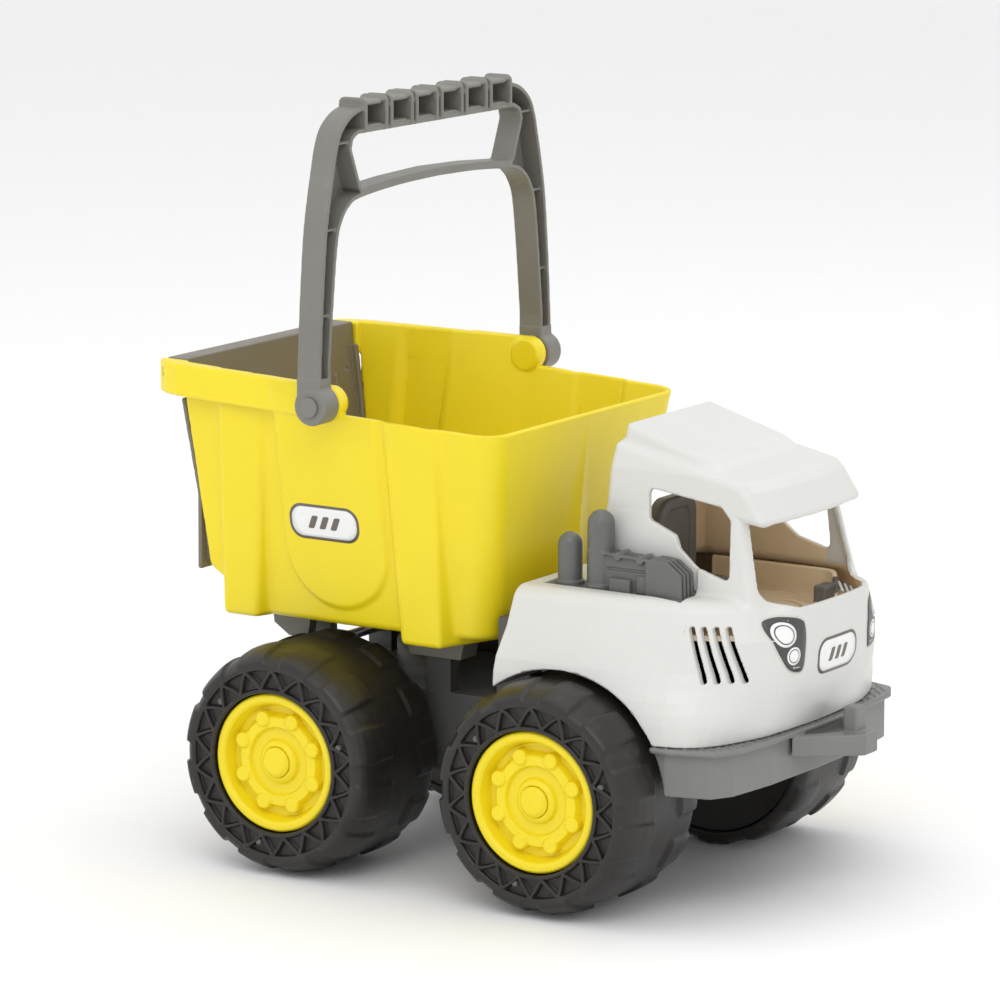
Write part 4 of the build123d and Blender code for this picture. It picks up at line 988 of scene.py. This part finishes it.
HEADLAMP = [(40, 162.2), (48, 163.2), (55.5, 161.4), (57.4, 157.5), (56.6, 151), (52.6, 141), (47.5, 133.6),
            (40, 131), (34.6, 132.6), (33.0, 145), (34.0, 158)]       # outline of a lamp label, (|y|, z)
UPPER_LAMP, LOWER_LAMP = (48.0, 153.0), (43.0, 141.0)
AHEAD_OF_NOSE = 215.0                              # labels start out here and are pressed onto the surface
BESIDE_BUCKET = 125.0


def build_labels():
    for side, sign in (("right", -1), ("left", 1)):
        def turned(points):
            return [(sign * y, z) for y, z in points]
        curve = smooth_outline(HEADLAMP + HEADLAMP[:1], 4)[:-1]
        layers = [
            (turned(dense(curve, 2.0)), 0.16, PRINT_PALE),
            (turned(dense(inset(curve, 0.9), 2.0)), 0.22, PRINT_GREY),
        ]
        for at, radii in ((UPPER_LAMP, (6.6, 5.2, 4.6)), (LOWER_LAMP, (4.9, 3.8, 3.3))):
            for radius, lift, ink in zip(radii, (0.28, 0.34, 0.40), (PRINT_WHITE, PRINT_GREY, PRINT_WHITE)):
                layers.append((turned(disc(radius, at)), lift, ink))
        label(f"headlamp_label_{side}_detail", "chassis", "headlamp_labels", cab_outside, layers, 0,
              AHEAD_OF_NOSE, 1.0)
        layers = emblem(46.0, 20.0, (-73.7, 193.0), -sign)
        label(f"bucket_label_{side}_detail", "bucket_body", "bucket_labels", tub_outside, layers, 1,
              sign * BESIDE_BUCKET, sign)
    label("front_label_detail", "chassis", "front_label", cab_outside, emblem(42.0, 20.0, (0.0, 136.0)),
          0, AHEAD_OF_NOSE, 1.0)


# ---------------------------------------------------------------- CAD nodes that stay
def dress(node, material, bevel=0.0):
    """Give a CAD node its material and, where it has sharp corners, rounded edges."""
    piece = frame["nodes"][node]
    piece.data.materials.clear()
    piece.data.materials.append(material)
    if bevel > 0:
        weld = piece.modifiers.new("weld", "WELD")
        weld.merge_threshold = 0.00002
        soft = piece.modifiers.new("bevel", "BEVEL")
        soft.width = bevel / MM
        soft.segments = 2
        soft.limit_method = "ANGLE"
        soft.angle_limit = math.radians(40)
        soft.harden_normals = True


def dress_cad_nodes():
    dress("chassis_frame", CHASSIS_GREY, 0.5)
    dress("cradle", GREY, 0.5)
    for node in ("front_axle", "rear_axle", "axle_push_nuts", "hinge_pin", "cab_screws", "bumper_screws"):
        dress(node, STEEL, 0.25)
    dress("handle_pins", GREY, 0.5)
    for end in ("front", "rear"):
        for side in ("right", "left"):
            dress(f"{end}_{side}_tyre_back", TYRE, 0.4)
            dress(f"{end}_{side}_hub_cap", YELLOW, 0.3)
            dress(f"{end}_{side}_tyre_screws", SCREW, 0.2)


# ---------------------------------------------------------------- the moulded pieces
def build_mouldings():
    cab = mesh_of("cab_detail", opened_field, (36, -106, 96), (199, 106, 258), 1.25, [WHITE, PAINTED_WARM_SHADE], cab_pick)
    place(cab, "chassis", "white_plastic", "cab_shell")
    vents = mesh_of("vents_detail", vented_field, (145, -93, 125), (188, 93, 162), 0.7, [WHITE])
    place(vents, "chassis", "white_plastic", "cab_shell")
    bumper = mesh_of("bumper_detail", bumper_field, (135, -106, 70), (219, 106, 109), 0.95, [BUMPER_GREY])
    place(bumper, "chassis", "light_grey_plastic", "front_bumper")
    motor = mesh_of("engine_detail", engine_field, (55, -73, 165), (142, -54, 213), 0.75, [ENGINE_GREY])
    place(motor, "chassis", "dark_grey_plastic", "engine")
    seat = mesh_of("seat_detail", seat_field, (88, -93, 149), (196, 93, 212), 1.2, [PAINTED_WARM_SHADE, ENGINE_GREY],
                   seat_pick)
    place(seat, "chassis", "dark_grey_plastic", "seat")
    bucket = mesh_of("bucket_detail", bucket_field, (-191, -106, 129), (44, 106, 275), 1.5, [YELLOW])
    place(bucket, "bucket_body", "yellow_plastic", "bucket")
    gate = mesh_of("tailgate_detail", tailgate_field, (-189, -89, 155), (-164, 89, 275), 1.2, [TAILGATE_GREY])
    place(gate, "tailgate_body", "grey_plastic", "tailgate")
    grip = mesh_of("handle_detail", handle_field, (-77, -121, 251), (-53, 121, 426), 1.1, [GREY])
    place(grip, "handle_body", "grey_plastic", "handle")


# ---------------------------------------------------------------- stage, lights and camera
def build_floor():
    """Pale floor that curves up into a wall far behind the truck."""
    size, radius, rise = 6.0, 1.2, 4.0
    profile = [(-size, 0.0), (size - radius, 0.0)]
    profile += [(size - radius + radius * math.sin(a), radius - radius * math.cos(a))
                for a in np.linspace(0.1, math.pi / 2, 12)]
    profile.append((size, rise))
    view = Vector((math.sin(VIEW_AZ), -math.cos(VIEW_AZ), 0.0))
    side = Vector((-view.y, view.x, 0.0))
    points, faces = [], []
    for u, w in profile:
        for v in (-size * 1.6, size * 1.6):
            points.append(-view * u + side * v + Vector((0, 0, w)))
    for k in range(len(profile) - 1):
        faces.append((2 * k, 2 * k + 1, 2 * k + 3, 2 * k + 2))
    mesh = bpy.data.meshes.new("floor")
    mesh.from_pydata([tuple(point) for point in points], [], faces)
    mesh.materials.append(plastic("floor_paper", (0.93, 0.93, 0.93), 0.85, 0.05, 0.004))
    mesh.shade_smooth()
    floor = bpy.data.objects.new("floor", mesh)
    bpy.context.scene.collection.objects.link(floor)


VIEW_AZ = math.radians(32.71)
VIEW_EL = math.radians(10.64)
VIEW_TARGET = Vector((MID_X / MM - 0.01888, 0.0, 0.19685))
VIEW_DISTANCE = 2.942


def look(obj, target):
    obj.rotation_euler = (Vector(target) - obj.location).to_track_quat("-Z", "Y").to_euler()


def build_camera():
    data = bpy.data.cameras.new("camera")
    data.lens = 190.39
    data.sensor_width = 36.0
    data.clip_end = 50.0
    camera = bpy.data.objects.new("camera", data)
    back = Vector((math.sin(VIEW_AZ) * math.cos(VIEW_EL), -math.cos(VIEW_AZ) * math.cos(VIEW_EL),
                   math.sin(VIEW_EL)))
    camera.location = VIEW_TARGET + back * VIEW_DISTANCE
    look(camera, VIEW_TARGET)
    bpy.context.scene.collection.objects.link(camera)
    bpy.context.scene.camera = camera


def softbox(name, place_at, size, power):
    data = bpy.data.lights.new(name, "AREA")
    data.shape = "RECTANGLE"
    data.size, data.size_y = size
    data.energy = power
    light = bpy.data.objects.new(name, data)
    light.location = place_at
    look(light, (0.0, 0.0, 0.18))
    bpy.context.scene.collection.objects.link(light)


def build_lights():
    world = bpy.data.worlds.new("studio")
    world.use_nodes = True
    background = world.node_tree.nodes["Background"]
    background.inputs["Color"].default_value = (1.0, 1.0, 1.0, 1.0)
    background.inputs["Strength"].default_value = 0.95
    bpy.context.scene.world = world
    softbox("key", (0.9, -1.6, 2.0), (1.6, 1.2), 13.0)
    softbox("fill", (-1.9, -1.0, 1.1), (1.4, 1.4), 3.0)
    softbox("rim", (0.4, 1.8, 1.9), (1.8, 1.0), 5.0)
    softbox("top", (-0.1, 0.1, 2.2), (1.6, 1.6), 5.0)


build_camera()
build_lights()
build_floor()
build_mouldings()
wheel_objects()
build_labels()
dress_cad_nodes()
bpy.context.scene.view_settings.view_transform = "Standard"
